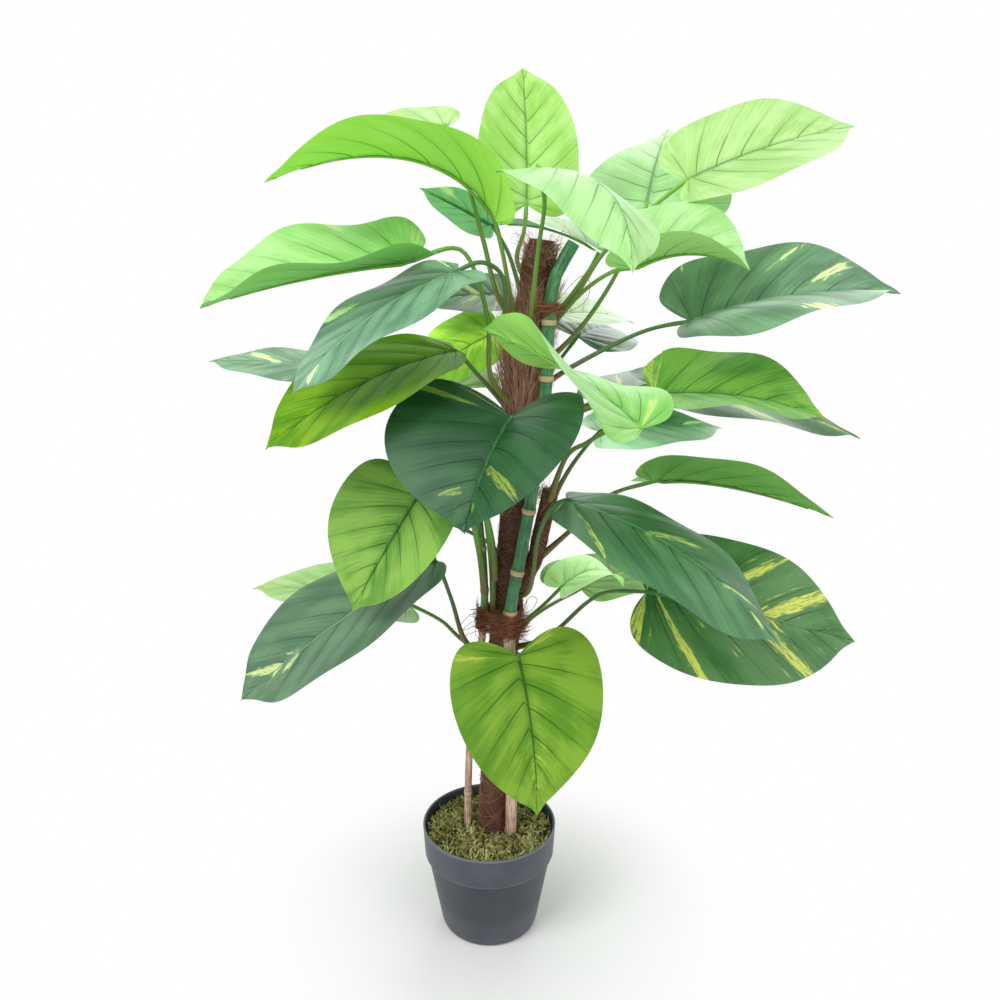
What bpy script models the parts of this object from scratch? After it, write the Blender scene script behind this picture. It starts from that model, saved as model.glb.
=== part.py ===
"""A potted pothos trained up a coir pole.

Metres, +Z up. The origin is the middle of the pot's flat underside. The front of the plant looks
towards -Y, and the pole leans a few degrees towards +X. Every leaf is one solid with its stalk.
"""

import math
from dataclasses import dataclass

import bmesh
import bpy
import numpy as np

# Clearance between parts that touch
GAP = 0.0003

# Fineness
PATH_STEPS = 40
SHARP_ANGLE = math.radians(40)

# Pot
POT_HEIGHT = 0.167
POT_RIM_RADIUS = 0.098
POT_COLLAR_HEIGHT = 0.047
POT_COLLAR_TAPER = 0.0025
POT_COLLAR_STEP = 0.0035
POT_COLLAR_SHELF = 0.001
POT_BASE_RADIUS = 0.0705
POT_FOOT_ROUND = 0.006
POT_WALL = 0.003
POT_STEPS = 32
DRAIN_HOLES = 6
DRAIN_RADIUS = 0.004
DRAIN_SIDES = 12
DRAIN_CIRCLE = 0.042

# Filling
MIX_TOP = 0.136
MOSS_EDGE = 0.149
MOSS_RISE = 0.008
MOSS_BUMP = 0.0022
MOSS_RINGS = 5
MOSS_SPOKES = POT_STEPS
STEM_HOLE_TOP = 0.209

# Stems: points of the middle line, from the foot up
POLE_RADIUS = 0.020
CORE_RADIUS = 0.008
CORE_FOOT = (-0.002, 0.000, 0.004)
CORE_TOP = (0.0655, 0.000, 0.975)
POLE_TOP_TAPER = 0.75
POLE_LINE = [
    (0.000, 0.000, 0.060), (0.004, 0.000, 0.158), (0.012, 0.000, 0.300), (0.023, 0.000, 0.480),
    (0.034, 0.000, 0.600), (0.040, 0.000, 0.720), (0.047, 0.000, 0.830), (0.059, 0.000, 0.930),
    (0.068, 0.000, 1.003),
]
FRONT_CANE_RADIUS = 0.0085
FRONT_CANE_LINE = [
    (0.031, -0.016, 0.070), (0.032, -0.017, 0.170), (0.033, -0.026, 0.310), (0.030, -0.033, 0.440),
    (0.029, -0.036, 0.513), (0.042, -0.036, 0.590), (0.055, -0.034, 0.667), (0.067, -0.033, 0.750),
    (0.074, -0.032, 0.826), (0.080, -0.029, 0.945), (0.106, -0.022, 1.000),
]
LEFT_CANE_RADIUS = 0.0055
LEFT_CANE_LINE = [
    (-0.034, 0.000, 0.075), (-0.032, 0.000, 0.170), (-0.028, -0.002, 0.290), (-0.016, -0.008, 0.410),
    (-0.006, -0.012, 0.500), (-0.006, -0.012, 0.570), (-0.012, -0.010, 0.640),
]
RIGHT_BRANCH_RADIUS = 0.0105
RIGHT_BRANCH_LINE = [
    (0.028, 0.000, 0.520), (0.060, 0.000, 0.570), (0.072, 0.000, 0.620), (0.084, 0.000, 0.679),
]
# Sections along each stem, and the sides of its tube
STEM_FACETS = {
    "pole": (14, 14),
    "core": (14, 10),
    "front_cane": (14, 10),
    "left_cane": (9, 8),
    "right_branch": (7, 10),
}
NODE_RING_SWELL = 1.22
NODE_RING_HEIGHT = 0.006
FRONT_CANE_RINGS = (0.250, 0.380, 0.517, 0.575, 0.660, 0.760, 0.835, 0.905)
LEFT_CANE_RINGS = (0.215, 0.300, 0.420, 0.540, 0.600)

# Ties of twisted coir that hold the canes to the pole
TIE_THICKNESS = 0.002
TIE_BULGE = 0.0006
TIE_CLEARANCE = 0.0004
TIE_ROOM = 1.03
TIE_SIDES = 32
LOWER_TIE = (0.489, 0.508)
UPPER_TIE = (0.918, 0.928)

# Leaves
BLADE_THICKNESS = 0.0012
BLADE_ROWS = 9
BLADE_COLUMNS = 2
STALK_FOOT_RADIUS = 0.0031
STALK_TOP_RADIUS = 0.0022
STALK_POINTS = 8
STALK_SIDES = 6
STALK_INTO_BLADE = 0.010
# Shape of every blade, as shares of its length and width
LOBE_REACH = 3.5
LOBE_FADE = 1.2
VEIN_CURVE = 1.3
WAIST_DEPTH = 0.22
WAIST_AT = 0.95
WAIST_LENGTH = 0.04
RIPPLES = 7
RIPPLE_PHASES = (0.2, 1.3)
STEEPEST = 8.0
BASE_STRETCH = 0.02

LIGHT = "light_leaf"
OLIVE = "olive_leaf"
DARK = "dark_leaf"

COLOURS = {
    "pot_plastic": (0.075, 0.086, 0.105),
    "potting_mix": (0.030, 0.021, 0.014),
    "moss": (0.17, 0.18, 0.045),
    "coir": (0.085, 0.040, 0.026),
    "core_plastic": (0.04, 0.045, 0.04),
    "cane": (0.035, 0.17, 0.075),
    "tie_fibre": (0.30, 0.19, 0.11),
    LIGHT: (0.34, 0.65, 0.13),
    OLIVE: (0.17, 0.34, 0.05),
    DARK: (0.03, 0.13, 0.07),
}
ROUGHNESS = {"pot_plastic": 0.45, "cane": 0.30, LIGHT: 0.42, OLIVE: 0.40, DARK: 0.32}


@dataclass(frozen=True)
class Leaf:
    """One leaf: where its blade starts and ends, how it is shaped, and the stalk that carries it."""

    name: str
    kind: str
    base: tuple
    tip: tuple
    width: float
    carrier: str
    leaves_at: float
    via: tuple = ()
    roll: float = 0
    fold: tuple = (8, 8)
    cup: tuple = (0, 0)
    arch: float = 0.05
    peak: float = 0.5
    sweep: float = 0.0
    twist: float = 0.0
    lobe: float = 0.10
    wave: float = 0.012
    blunt: float = 8.0
    fullness: float = 0.12


# base, tip: ends of the midrib. carrier, leaves_at: the stem and the height that the stalk starts
# from. via: points that the stalk passes. roll turns the blade about its midrib and fold lifts its
# left and right halves, in degrees. cup bends each half along its width.
LEAVES = (
    Leaf("leaf_crown", LIGHT, (0.050, 0.058, 1.045), (0.045, 0.085, 1.210), 0.134,
         "pole", 0.935, ((0.038, 0.035, 0.975), (0.047, 0.050, 1.012)), fold=(10, 10), blunt=16),
    Leaf("leaf_top_left_long", LIGHT, (0.010, -0.030, 1.025), (-0.250, -0.100, 1.070), 0.168,
         "pole", 0.885, ((0.035, -0.030, 0.910), (0.020, -0.035, 0.985)),
         roll=5, fold=(23, 23), arch=0.20, peak=0.42, lobe=0.04, blunt=12, fullness=0.0),
    Leaf("leaf_top_left_behind", LIGHT, (-0.052, 0.085, 1.140), (-0.195, 0.105, 1.115), 0.125,
         "pole", 0.885, ((0.015, 0.005, 0.930), (-0.005, 0.030, 1.000), (-0.028, 0.060, 1.080)),
         roll=-24, fold=(5, 5), arch=0.06),
    Leaf("leaf_top_left_small", DARK, (0.005, 0.105, 1.018), (-0.090, 0.090, 1.065), 0.085,
         "pole", 0.885, ((0.045, 0.040, 0.925), (0.028, 0.080, 0.980)),
         roll=33, fold=(0, 0), arch=0.02, blunt=6),
    Leaf("leaf_top_centre_back", LIGHT, (0.150, 0.105, 0.985), (0.005, 0.175, 1.015), 0.120,
         "pole", 0.865, ((0.090, 0.045, 0.905), (0.135, 0.085, 0.960)), fold=(10, 10), arch=0.08),
    Leaf("leaf_top_front", LIGHT, (0.058, -0.082, 1.086), (0.150, -0.250, 0.980), 0.155,
         "pole", 0.865, ((0.054, -0.042, 0.915), (0.062, -0.052, 0.995), (0.068, -0.068, 1.050)),
         fold=(-40, 5), arch=0.15, sweep=-0.10, twist=25, lobe=0.09, fullness=0.10),
    Leaf("leaf_top_right_low", LIGHT, (0.180, -0.020, 0.970), (0.315, -0.060, 0.970), 0.165,
         "pole", 0.850, ((0.085, 0.000, 0.900), (0.120, -0.005, 0.940), (0.155, -0.015, 0.965)),
         roll=10, fold=(40, 30), arch=0.14),
    Leaf("leaf_top_right_back", LIGHT, (0.210, 0.105, 1.040), (0.265, 0.290, 1.150), 0.220,
         "pole", 0.825, ((0.110, 0.020, 0.880), (0.155, 0.050, 0.935), (0.190, 0.085, 0.995)),
         fold=(-12, -12), arch=0.06, blunt=4),
    Leaf("leaf_top_right_high", LIGHT, (0.255, 0.055, 1.075), (0.470, 0.080, 1.140), 0.168,
         "pole", 0.875, ((0.110, 0.020, 0.930), (0.150, 0.045, 0.985), (0.205, 0.056, 1.035)),
         roll=34, fold=(12, 12), blunt=7, fullness=-0.05),
    Leaf("leaf_left_high", LIGHT, (-0.090, -0.050, 0.980), (-0.335, -0.100, 0.930), 0.175,
         "pole", 0.785, ((0.005, -0.034, 0.835), (0.000, -0.040, 0.915), (-0.030, -0.040, 0.992)),
         roll=-12, fold=(27, 27), arch=0.03, wave=0.028, blunt=16, fullness=0.0),
    Leaf("leaf_left_striped", DARK, (-0.035, -0.070, 0.970), (-0.220, -0.160, 0.840), 0.150,
         "pole", 0.860, ((0.025, -0.038, 0.900), (0.020, -0.055, 0.960), (-0.005, -0.070, 0.980)),
         roll=-8, fold=(0, 0), arch=0.08, lobe=0.08, wave=0.020, blunt=18),
    Leaf("leaf_left_olive", OLIVE, (-0.040, -0.030, 0.870), (-0.265, -0.120, 0.765), 0.180,
         "pole", 0.770, ((-0.010, -0.020, 0.835),),
         roll=-24, fold=(15, -4), arch=0.08, lobe=0.03, blunt=11, fullness=-0.15),
    Leaf("leaf_left_far", DARK, (-0.210, 0.050, 0.835), (-0.370, 0.040, 0.845), 0.140,
         "pole", 0.755, ((-0.020, 0.020, 0.795), (-0.110, 0.045, 0.830)),
         roll=-8, fold=(0, 0), arch=0.02),
    Leaf("leaf_right_dark", DARK, (0.255, -0.020, 0.905), (0.510, -0.030, 0.940), 0.200,
         "pole", 0.800, ((0.110, 0.000, 0.845), (0.195, -0.010, 0.890)),
         fold=(38, 12), cup=(0, -45), arch=0.06, wave=0.018, blunt=11),
    Leaf("leaf_right_olive", OLIVE, (0.215, 0.000, 0.810), (0.425, -0.050, 0.785), 0.190,
         "pole", 0.745, ((0.095, 0.000, 0.775), (0.160, 0.000, 0.800)),
         roll=14, fold=(15, 15), arch=0.07, peak=0.55, wave=0.022, blunt=13),
    Leaf("leaf_front_bright", LIGHT, (0.170, -0.225, 0.815), (-0.005, -0.100, 0.905), 0.168,
         "right_branch", 0.655, ((0.100, -0.045, 0.735), (0.120, -0.110, 0.770), (0.140, -0.175, 0.800)),
         roll=-12, fold=(12, 4), arch=0.06, twist=70, lobe=0.055, wave=0.020, blunt=18, fullness=0.40),
    Leaf("leaf_right_slim", OLIVE, (0.220, 0.000, 0.690), (0.455, -0.030, 0.650), 0.160,
         "right_branch", 0.575, ((0.115, 0.000, 0.625), (0.160, 0.000, 0.670)),
         roll=-24, fold=(16, 16), arch=0.06, peak=0.42, blunt=5),
    Leaf("leaf_right_drooping", DARK, (0.100, -0.080, 0.690), (0.355, -0.180, 0.535), 0.180,
         "pole", 0.525, ((0.055, -0.035, 0.550), (0.065, -0.060, 0.630), (0.080, -0.075, 0.675)),
         roll=12, fold=(-12, -2), arch=0.10, lobe=0.05, blunt=9, fullness=-0.10),
    Leaf("leaf_right_marbled", DARK, (0.215, -0.020, 0.540), (0.495, -0.050, 0.480), 0.210,
         "pole", 0.445, ((0.080, -0.005, 0.465), (0.135, -0.010, 0.520), (0.165, -0.018, 0.540)),
         roll=45, fold=(0, 0), arch=0.04, lobe=0.07, blunt=9, fullness=0.05),
    Leaf("leaf_right_small", LIGHT, (0.105, 0.060, 0.515), (0.200, 0.100, 0.500), 0.100,
         "pole", 0.465, ((0.070, 0.035, 0.490),), fold=(10, 10), arch=0.25),
    Leaf("leaf_right_back_short", DARK, (0.155, 0.080, 0.740), (0.330, 0.100, 0.740), 0.180,
         "right_branch", 0.650, ((0.115, 0.035, 0.705),), roll=5, fold=(0, 0), blunt=10),
    Leaf("leaf_right_back_long", DARK, (0.225, 0.090, 0.805), (0.520, 0.080, 0.730), 0.150,
         "pole", 0.735, ((0.110, 0.045, 0.775),), roll=13, fold=(0, 0)),
    Leaf("leaf_front_dark", DARK, (0.030, -0.100, 0.800), (-0.025, -0.200, 0.685), 0.260,
         "pole", 0.720, ((0.020, -0.035, 0.745), (0.028, -0.075, 0.785)),
         fold=(36, 24), cup=(-30, 0), arch=0.08, blunt=10, fullness=0.05),
    Leaf("leaf_front_left_olive", OLIVE, (-0.085, -0.070, 0.695), (-0.170, -0.120, 0.555), 0.180,
         "pole", 0.640, ((-0.005, -0.030, 0.670), (-0.035, -0.055, 0.695)),
         roll=-50, fold=(42, 5), arch=0.06, blunt=6),
    Leaf("leaf_low_left_dark", DARK, (-0.070, -0.020, 0.585), (-0.320, -0.120, 0.430), 0.180,
         "left_cane", 0.435, ((-0.035, -0.022, 0.475), (-0.050, -0.022, 0.530)),
         roll=-15, fold=(12, 5), arch=0.04, lobe=0.04, blunt=16, fullness=-0.20),
    Leaf("leaf_low_left_light", LIGHT, (-0.120, 0.060, 0.490), (-0.340, 0.055, 0.515), 0.140,
         "pole", 0.415, ((-0.040, 0.035, 0.445), (-0.070, 0.045, 0.470)),
         roll=-10, fold=(6, 6), arch=0.04),
    Leaf("leaf_front_heart", OLIVE, (0.040, -0.080, 0.475), (0.065, -0.140, 0.270), 0.215,
         "pole", 0.437, ((0.054, -0.034, 0.452), (0.056, -0.062, 0.462)),
         fold=(8, 8), arch=0.08, lobe=0.115, blunt=5),
    Leaf("leaf_inner_left_olive", OLIVE, (0.010, 0.105, 0.875), (-0.105, 0.085, 0.800), 0.165,
         "pole", 0.800, ((0.025, 0.045, 0.840),), roll=-20, fold=(5, 5)),
    Leaf("leaf_inner_left_dark", DARK, (0.020, 0.150, 0.920), (-0.090, 0.150, 0.910), 0.130,
         "pole", 0.845, ((0.040, 0.070, 0.895),), roll=-20, fold=(5, 5)),
    Leaf("leaf_inner_right_light", LIGHT, (0.095, 0.095, 0.900), (0.205, 0.185, 0.880), 0.130,
         "pole", 0.830, ((0.075, 0.050, 0.870),), roll=15, fold=(8, 8)),
    Leaf("leaf_inner_right_dark", DARK, (0.125, 0.130, 0.865), (0.190, 0.260, 0.860), 0.140,
         "pole", 0.765, ((0.075, 0.050, 0.815),), roll=22, fold=(5, 5)),
    Leaf("leaf_back_middle", DARK, (-0.015, 0.130, 0.710), (-0.070, 0.380, 0.680), 0.190,
         "pole", 0.660, ((0.025, 0.045, 0.690), (0.010, 0.085, 0.712)), fold=(5, 5), arch=0.08),
    Leaf("leaf_back_low", OLIVE, (0.055, 0.120, 0.305), (0.060, 0.320, 0.230), 0.155,
         "pole", 0.255, ((0.035, 0.055, 0.290),), fold=(5, 5), arch=0.08),
    Leaf("leaf_back_left_high", OLIVE, (-0.045, 0.145, 0.790), (-0.205, 0.310, 0.770), 0.180,
         "pole", 0.715, ((0.005, 0.055, 0.765),), fold=(5, 5), arch=0.08),
    Leaf("leaf_back_right_middle", DARK, (0.185, 0.160, 0.770), (0.375, 0.320, 0.755), 0.170,
         "pole", 0.700, ((0.080, 0.055, 0.750),), fold=(5, 5), arch=0.08),
    Leaf("leaf_back_right_low", OLIVE, (0.140, 0.140, 0.480), (0.300, 0.320, 0.430), 0.180,
         "pole", 0.430, ((0.060, 0.050, 0.470),), fold=(5, 5), arch=0.08),
    Leaf("leaf_back_left_low", DARK, (-0.070, 0.100, 0.605), (-0.195, 0.280, 0.560), 0.180,
         "pole", 0.540, ((0.005, 0.040, 0.585),), fold=(5, 5), arch=0.08),
)


def clear_scene():
    """Remove every object of the open scene."""
    for old in list(bpy.data.objects):
        bpy.data.objects.remove(old, do_unlink=True)


def collection(name):
    """A new collection of the scene."""
    made = bpy.data.collections.new(name)
    bpy.context.scene.collection.children.link(made)
    return made


def material(name, finish):
    """A Principled material with the colour and roughness of a finish."""
    made = bpy.data.materials.new(name)
    made.use_nodes = True
    shader = made.node_tree.nodes["Principled BSDF"]
    shader.inputs["Base Color"].default_value = (*COLOURS[finish], 1.0)
    shader.inputs["Roughness"].default_value = ROUGHNESS.get(finish, 0.8)
    shader.inputs["Metallic"].default_value = 0.0
    made.diffuse_color = (*COLOURS[finish], 1.0)
    return made


class Bench:
    """Where the parts and their cutters are put."""

    def __init__(self):
        self.parts = collection("potted_pothos")
        self.cutters = collection("cutters")

    def part(self, name, mesh, finish):
        """A visible part with its own material."""
        made = bpy.data.objects.new(name, mesh)
        self.parts.objects.link(made)
        mesh.materials.clear()
        mesh.materials.append(material(name, finish))
        mesh.shade_smooth()
        mesh.set_sharp_from_angle(angle=SHARP_ANGLE)
        return made

    def cutter(self, name, mesh):
        """A helper that cuts or joins, and doesn't render."""
        made = bpy.data.objects.new(name, mesh)
        self.cutters.objects.link(made)
        made.hide_render = True
        made.display_type = "WIRE"
        return made


def unit(vectors):
    """Vectors of length one, along the last axis."""
    vectors = np.asarray(vectors, float)
    return vectors / np.linalg.norm(vectors, axis=-1, keepdims=True)


def mesh_of(name, points, faces):
    """A closed mesh from points and faces, with doubles merged and normals outwards."""
    mesh = bpy.data.meshes.new(name)
    mesh.from_pydata(np.asarray(points, float).reshape(-1, 3).tolist(), [], faces)
    shape = bmesh.new()
    shape.from_mesh(mesh)
    bmesh.ops.remove_doubles(shape, verts=shape.verts, dist=1e-6)
    bmesh.ops.recalc_face_normals(shape, faces=shape.faces)
    shape.to_mesh(mesh)
    shape.free()
    return mesh


def boolean(target, other, operation):
    """A Boolean modifier on target."""
    modifier = target.modifiers.new(operation.lower(), "BOOLEAN")
    modifier.operation = operation
    modifier.object = other
    modifier.solver = "EXACT"


def turned(bench, name, profile, finish, steps=POT_STEPS):
    """A profile of (radius, height) points turned about Z. It runs down its outer side."""
    mesh = bpy.data.meshes.new(name)
    edges = [(i, i + 1) for i in range(len(profile) - 1)]
    mesh.from_pydata([(radius, 0.0, height) for radius, height in profile], edges, [])
    made = bench.part(name, mesh, finish)
    screw = made.modifiers.new("turn", "SCREW")
    screw.steps = steps
    screw.render_steps = steps
    screw.use_merge_vertices = True
    screw.merge_threshold = 1e-5
    return made


def smooth_path(points, count):
    """A Catmull-Rom curve through the points, read at `count` places evenly along its length."""
    points = np.asarray(points, float)
    padded = np.vstack([2 * points[0] - points[1], points, 2 * points[-1] - points[-2]])
    fine = []
    for i in range(1, len(padded) - 2):
        t = np.linspace(0, 1, PATH_STEPS, endpoint=False)[:, None]
        a, b, c, d = padded[i - 1 : i + 3]
        bend = (2 * a - 5 * b + 4 * c - d) * t**2 + (-a + 3 * b - 3 * c + d) * t**3
        fine.append(0.5 * (2 * b + (c - a) * t + bend))
    fine = np.vstack([*fine, points[-1:]])
    run = np.concatenate([[0], np.cumsum(np.linalg.norm(np.diff(fine, axis=0), axis=1))])
    wanted = np.linspace(0, run[-1], count)
    return np.stack([np.interp(wanted, run, fine[:, k]) for k in range(3)], axis=1)


def tube_mesh(name, path, radii, sides):
    """A tube with filled caps, from a curve object with a bevel, as a welded mesh."""
    curve = bpy.data.curves.new(name, "CURVE")
    curve.dimensions = "3D"
    curve.bevel_depth = 1.0
    curve.bevel_resolution = (sides - 4) // 2
    curve.use_fill_caps = True
    spline = curve.splines.new("POLY")
    spline.points.add(len(path) - 1)
    for point, place, radius in zip(spline.points, path, radii):
        point.co = (*place, 1.0)
        point.radius = radius
    guide = bpy.data.objects.new(name, curve)
    bpy.context.scene.collection.objects.link(guide)
    graph = bpy.context.evaluated_depsgraph_get()
    mesh = bpy.data.meshes.new_from_object(guide.evaluated_get(graph))
    bpy.data.objects.remove(guide)
    shape = bmesh.new()
    shape.from_mesh(mesh)
    bmesh.ops.remove_doubles(shape, verts=shape.verts, dist=1e-6)
    bmesh.ops.recalc_face_normals(shape, faces=shape.faces)
    shape.to_mesh(mesh)
    shape.free()
    return mesh


class Stem:
    """A round stem along a line of points, with one radius up to its top section."""

    def __init__(self, line, radius, rings=(), taper=1.0):
        self.path = smooth_path(line, 4 * len(line))
        self.radius = radius
        self.rings = rings
        self.taper = taper

    def at(self, height):
        """The middle line's point at this height."""
        return np.array([np.interp(height, self.path[:, 2], self.path[:, k]) for k in range(3)])

    def section(self, count):
        """Places and radii of the stem's own tube, with a swollen ring at each leaf scar."""
        heights = np.linspace(self.path[0, 2], self.path[-1, 2], count).tolist()
        for ring in self.rings:
            heights = [z for z in heights if abs(z - ring) > 2 * NODE_RING_HEIGHT]
            heights += [ring - NODE_RING_HEIGHT, ring, ring + NODE_RING_HEIGHT]
        heights.sort()
        swell = [NODE_RING_SWELL if z in self.rings else 1.0 for z in heights]
        swell[-1] = self.taper
        return np.array([self.at(z) for z in heights]), self.radius * np.array(swell)

    def skin(self, name, count, sides, top=math.inf):
        """A mesh of the stem's tube up to a height, wider by the gap, that cuts what meets it."""
        places, radii = self.section(count)
        low = int(np.searchsorted(places[:, 2], top)) + 1
        places, radii = places[:low], radii[:low] + GAP
        places[0] -= unit(places[1] - places[0]) * GAP
        return tube_mesh(name, places, radii, sides)


def half_width(turn, blunt, fullness):
    """Half width of a blade at the margin's turn from base (0) to tip (pi), before scaling.

    A sine, kept full towards the tip by `blunt`, moved towards the base by `fullness`, with a
    narrow waist just before the tip that leaves a short drip tip.
    """
    along = (1 - np.cos(turn)) / 2
    waist = 1 - WAIST_DEPTH * np.exp(-(((along - WAIST_AT) / WAIST_LENGTH) ** 2))
    return np.sin(turn) * (1 - along**blunt) * (1 + fullness * np.cos(turn)) * waist


class Blade:
    """The blade of one leaf, as a surface on the grid (margin turn, way out from the midrib)."""

    def __init__(self, leaf):
        self.leaf = leaf
        self.base = np.array(leaf.base)
        run = np.array(leaf.tip) - self.base
        self.length = np.linalg.norm(run)
        self.ahead = run / self.length
        side = unit(np.cross(self.ahead, [0, 0, 1]))
        up = np.cross(side, self.ahead)
        roll = math.radians(leaf.roll)
        self.up = up * math.cos(roll) + side * math.sin(roll)
        self.side = side * math.cos(roll) - up * math.sin(roll)

    def midrib(self, x):
        """Places and frames (along, across, up) of the midrib at the fractions x of its length.

        The midrib bows up by `arch` and sideways by `sweep` of its length, most at `peak`, and
        its frame turns by `twist` towards the tip. Behind the base it runs on straight.
        """
        leaf = self.leaf
        power = math.log(0.5) / math.log(leaf.peak)
        on = np.clip(x, 1e-6, 1)
        bow = 4 * on**power * (1 - on**power) + self.slope(BASE_STRETCH, power) * np.clip(x, None, 0)
        lift = self.up * leaf.arch + self.side * leaf.sweep
        places = self.base + self.length * (self.ahead * x[..., None] + lift * bow[..., None])
        along = unit(self.ahead + lift * self.slope(on, power)[..., None])
        turn = math.radians(leaf.twist) * np.clip(x, 0, 1)[..., None]
        up = self.up * np.cos(turn) + self.side * np.sin(turn)
        across = unit(np.cross(along, up))
        return places, along, across, np.cross(across, along)

    @staticmethod
    def slope(x, power):
        """Slope of the midrib's bow at the fractions x of its length, kept below the steepest."""
        return np.clip((4 - 8 * x**power) * power * x ** (power - 1), -STEEPEST, STEEPEST)

    def grid(self, rows, columns):
        """Points (rows, 2 * columns + 1, 3), from the left margin over the midrib to the right.

        A margin point lies where a side vein from the midrib meets the heart outline. The lobes
        are the stretch of the outline that swings behind the base.
        """
        leaf = self.leaf
        turn = np.linspace(0, math.pi, rows)
        along = (1 - np.cos(turn)) / 2
        vein_start = along**2
        margin = along - leaf.lobe * LOBE_REACH * np.sin(turn) * (1 - along) ** LOBE_FADE
        widest = half_width(np.linspace(0, math.pi, 600), leaf.blunt, leaf.fullness).max()
        wide = half_width(turn, leaf.blunt, leaf.fullness) / widest
        out = np.linspace(0, 1, columns + 1)
        x = vein_start[:, None] + (margin - vein_start)[:, None] * out[None, :] ** VEIN_CURVE
        spread = wide[:, None] * out[None, :]
        halves = []
        for side, fold, cup, phase in zip((-1, 1), leaf.fold, leaf.cup, RIPPLE_PHASES):
            fold = math.radians(fold)
            bend = math.radians(cup) or 1e-4
            across = leaf.width / 2 * (np.sin(fold + bend * spread) - math.sin(fold)) / bend
            up = leaf.width / 2 * (math.cos(fold) - np.cos(fold + bend * spread)) / bend
            ripple = np.sin(turn * RIPPLES + phase) * np.sin(turn)
            up = up + leaf.wave * self.length * ripple[:, None] * out[None, :] ** 2
            places, _, sideways, upwards = self.midrib(x)
            halves.append(places + sideways * (side * across)[..., None] + upwards * up[..., None])
        return np.concatenate([halves[0][:, ::-1], halves[1][:, 1:]], axis=1)


def grid_faces(rows, columns):
    """Quads of a grid of rows x columns points."""
    return [
        (i * columns + j, i * columns + j + 1, (i + 1) * columns + j + 1, (i + 1) * columns + j)
        for i in range(rows - 1)
        for j in range(columns - 1)
    ]


def stalk_path(leaf, blade, stem):
    """The stalk's middle line, from its stem's middle line to a little way along the midrib."""
    start, along, _, _ = blade.midrib(np.array([0.0]))
    end = start[0] + along[0] * STALK_INTO_BLADE
    return smooth_path([stem.at(leaf.leaves_at), *leaf.via, leaf.base, end], STALK_POINTS)


def add_leaf(bench, leaf, stems):
    """One leaf: the blade given its thickness, joined to its stalk, seated on its stem's skin."""
    blade = Blade(leaf)
    points = blade.grid(BLADE_ROWS, BLADE_COLUMNS)
    mesh = mesh_of(leaf.name, points, grid_faces(BLADE_ROWS, 2 * BLADE_COLUMNS + 1))
    made = bench.part(leaf.name, mesh, leaf.kind)
    thick = made.modifiers.new("thickness", "SOLIDIFY")
    thick.thickness = BLADE_THICKNESS
    thick.offset = 0.0
    path = stalk_path(leaf, blade, stems[leaf.carrier])
    radii = np.linspace(STALK_FOOT_RADIUS, STALK_TOP_RADIUS, len(path))
    stalk = bench.cutter(leaf.name + ".stalk", tube_mesh(leaf.name + ".stalk", path, radii, STALK_SIDES))
    boolean(made, stalk, "UNION")
    boolean(made, bench.cutters.objects[leaf.carrier + "_skin"], "DIFFERENCE")


def collar_bottom():
    """Height of the lower edge of the pot's collar."""
    return POT_HEIGHT - POT_COLLAR_HEIGHT


def pot_outer_radius(height):
    """Radius of the pot's outer skin below the collar."""
    top = POT_RIM_RADIUS - POT_COLLAR_TAPER - POT_COLLAR_STEP
    return POT_BASE_RADIUS + (top - POT_BASE_RADIUS) * height / collar_bottom()


def pot_inner_radius(height):
    """Radius of the pot's inner skin."""
    if height <= collar_bottom():
        return pot_outer_radius(height) - POT_WALL
    share = (height - collar_bottom()) / POT_COLLAR_HEIGHT
    low = pot_outer_radius(collar_bottom()) - POT_WALL
    return low + (POT_RIM_RADIUS - POT_WALL - low) * share


def arc(centre, radius, start, end, count):
    """Points of an arc in the (radius, height) plane, between two angles in degrees."""
    angles = np.radians(np.linspace(start, end, count))
    return [(centre[0] + radius * math.cos(a), centre[1] + radius * math.sin(a)) for a in angles]


def add_pot(bench):
    """The pot: a thin tapered shell with a deep collar, a rounded foot and drainage holes."""
    lip = POT_WALL / 2
    foot = POT_FOOT_ROUND
    profile = [
        (0.0, POT_WALL),
        (pot_inner_radius(POT_WALL) - foot / 2, POT_WALL),
        (pot_inner_radius(foot), foot),
        (pot_inner_radius(collar_bottom()), collar_bottom()),
        *arc((POT_RIM_RADIUS - lip, POT_HEIGHT - lip), lip, 180, 0, 5),
        (POT_RIM_RADIUS - POT_COLLAR_TAPER, collar_bottom()),
        (pot_outer_radius(collar_bottom()), collar_bottom() - POT_COLLAR_SHELF),
        *arc((pot_outer_radius(0) - foot, foot), foot, 5, -90, 4),
        (0.0, 0.0),
    ]
    pot = turned(bench, "pot", profile, "pot_plastic")
    drill = bmesh.new()
    for i in range(DRAIN_HOLES):
        angle = 2 * math.pi * i / DRAIN_HOLES
        hole = bmesh.ops.create_cone(
            drill, cap_ends=True, segments=DRAIN_SIDES, radius1=DRAIN_RADIUS,
            radius2=DRAIN_RADIUS, depth=4 * POT_WALL,
        )
        place = (DRAIN_CIRCLE * math.cos(angle), DRAIN_CIRCLE * math.sin(angle), 0.0)
        bmesh.ops.translate(drill, verts=hole["verts"], vec=place)
    mesh = bpy.data.meshes.new("drain_drill")
    drill.to_mesh(mesh)
    drill.free()
    boolean(pot, bench.cutter("drain_drill", mesh), "DIFFERENCE")


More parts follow.
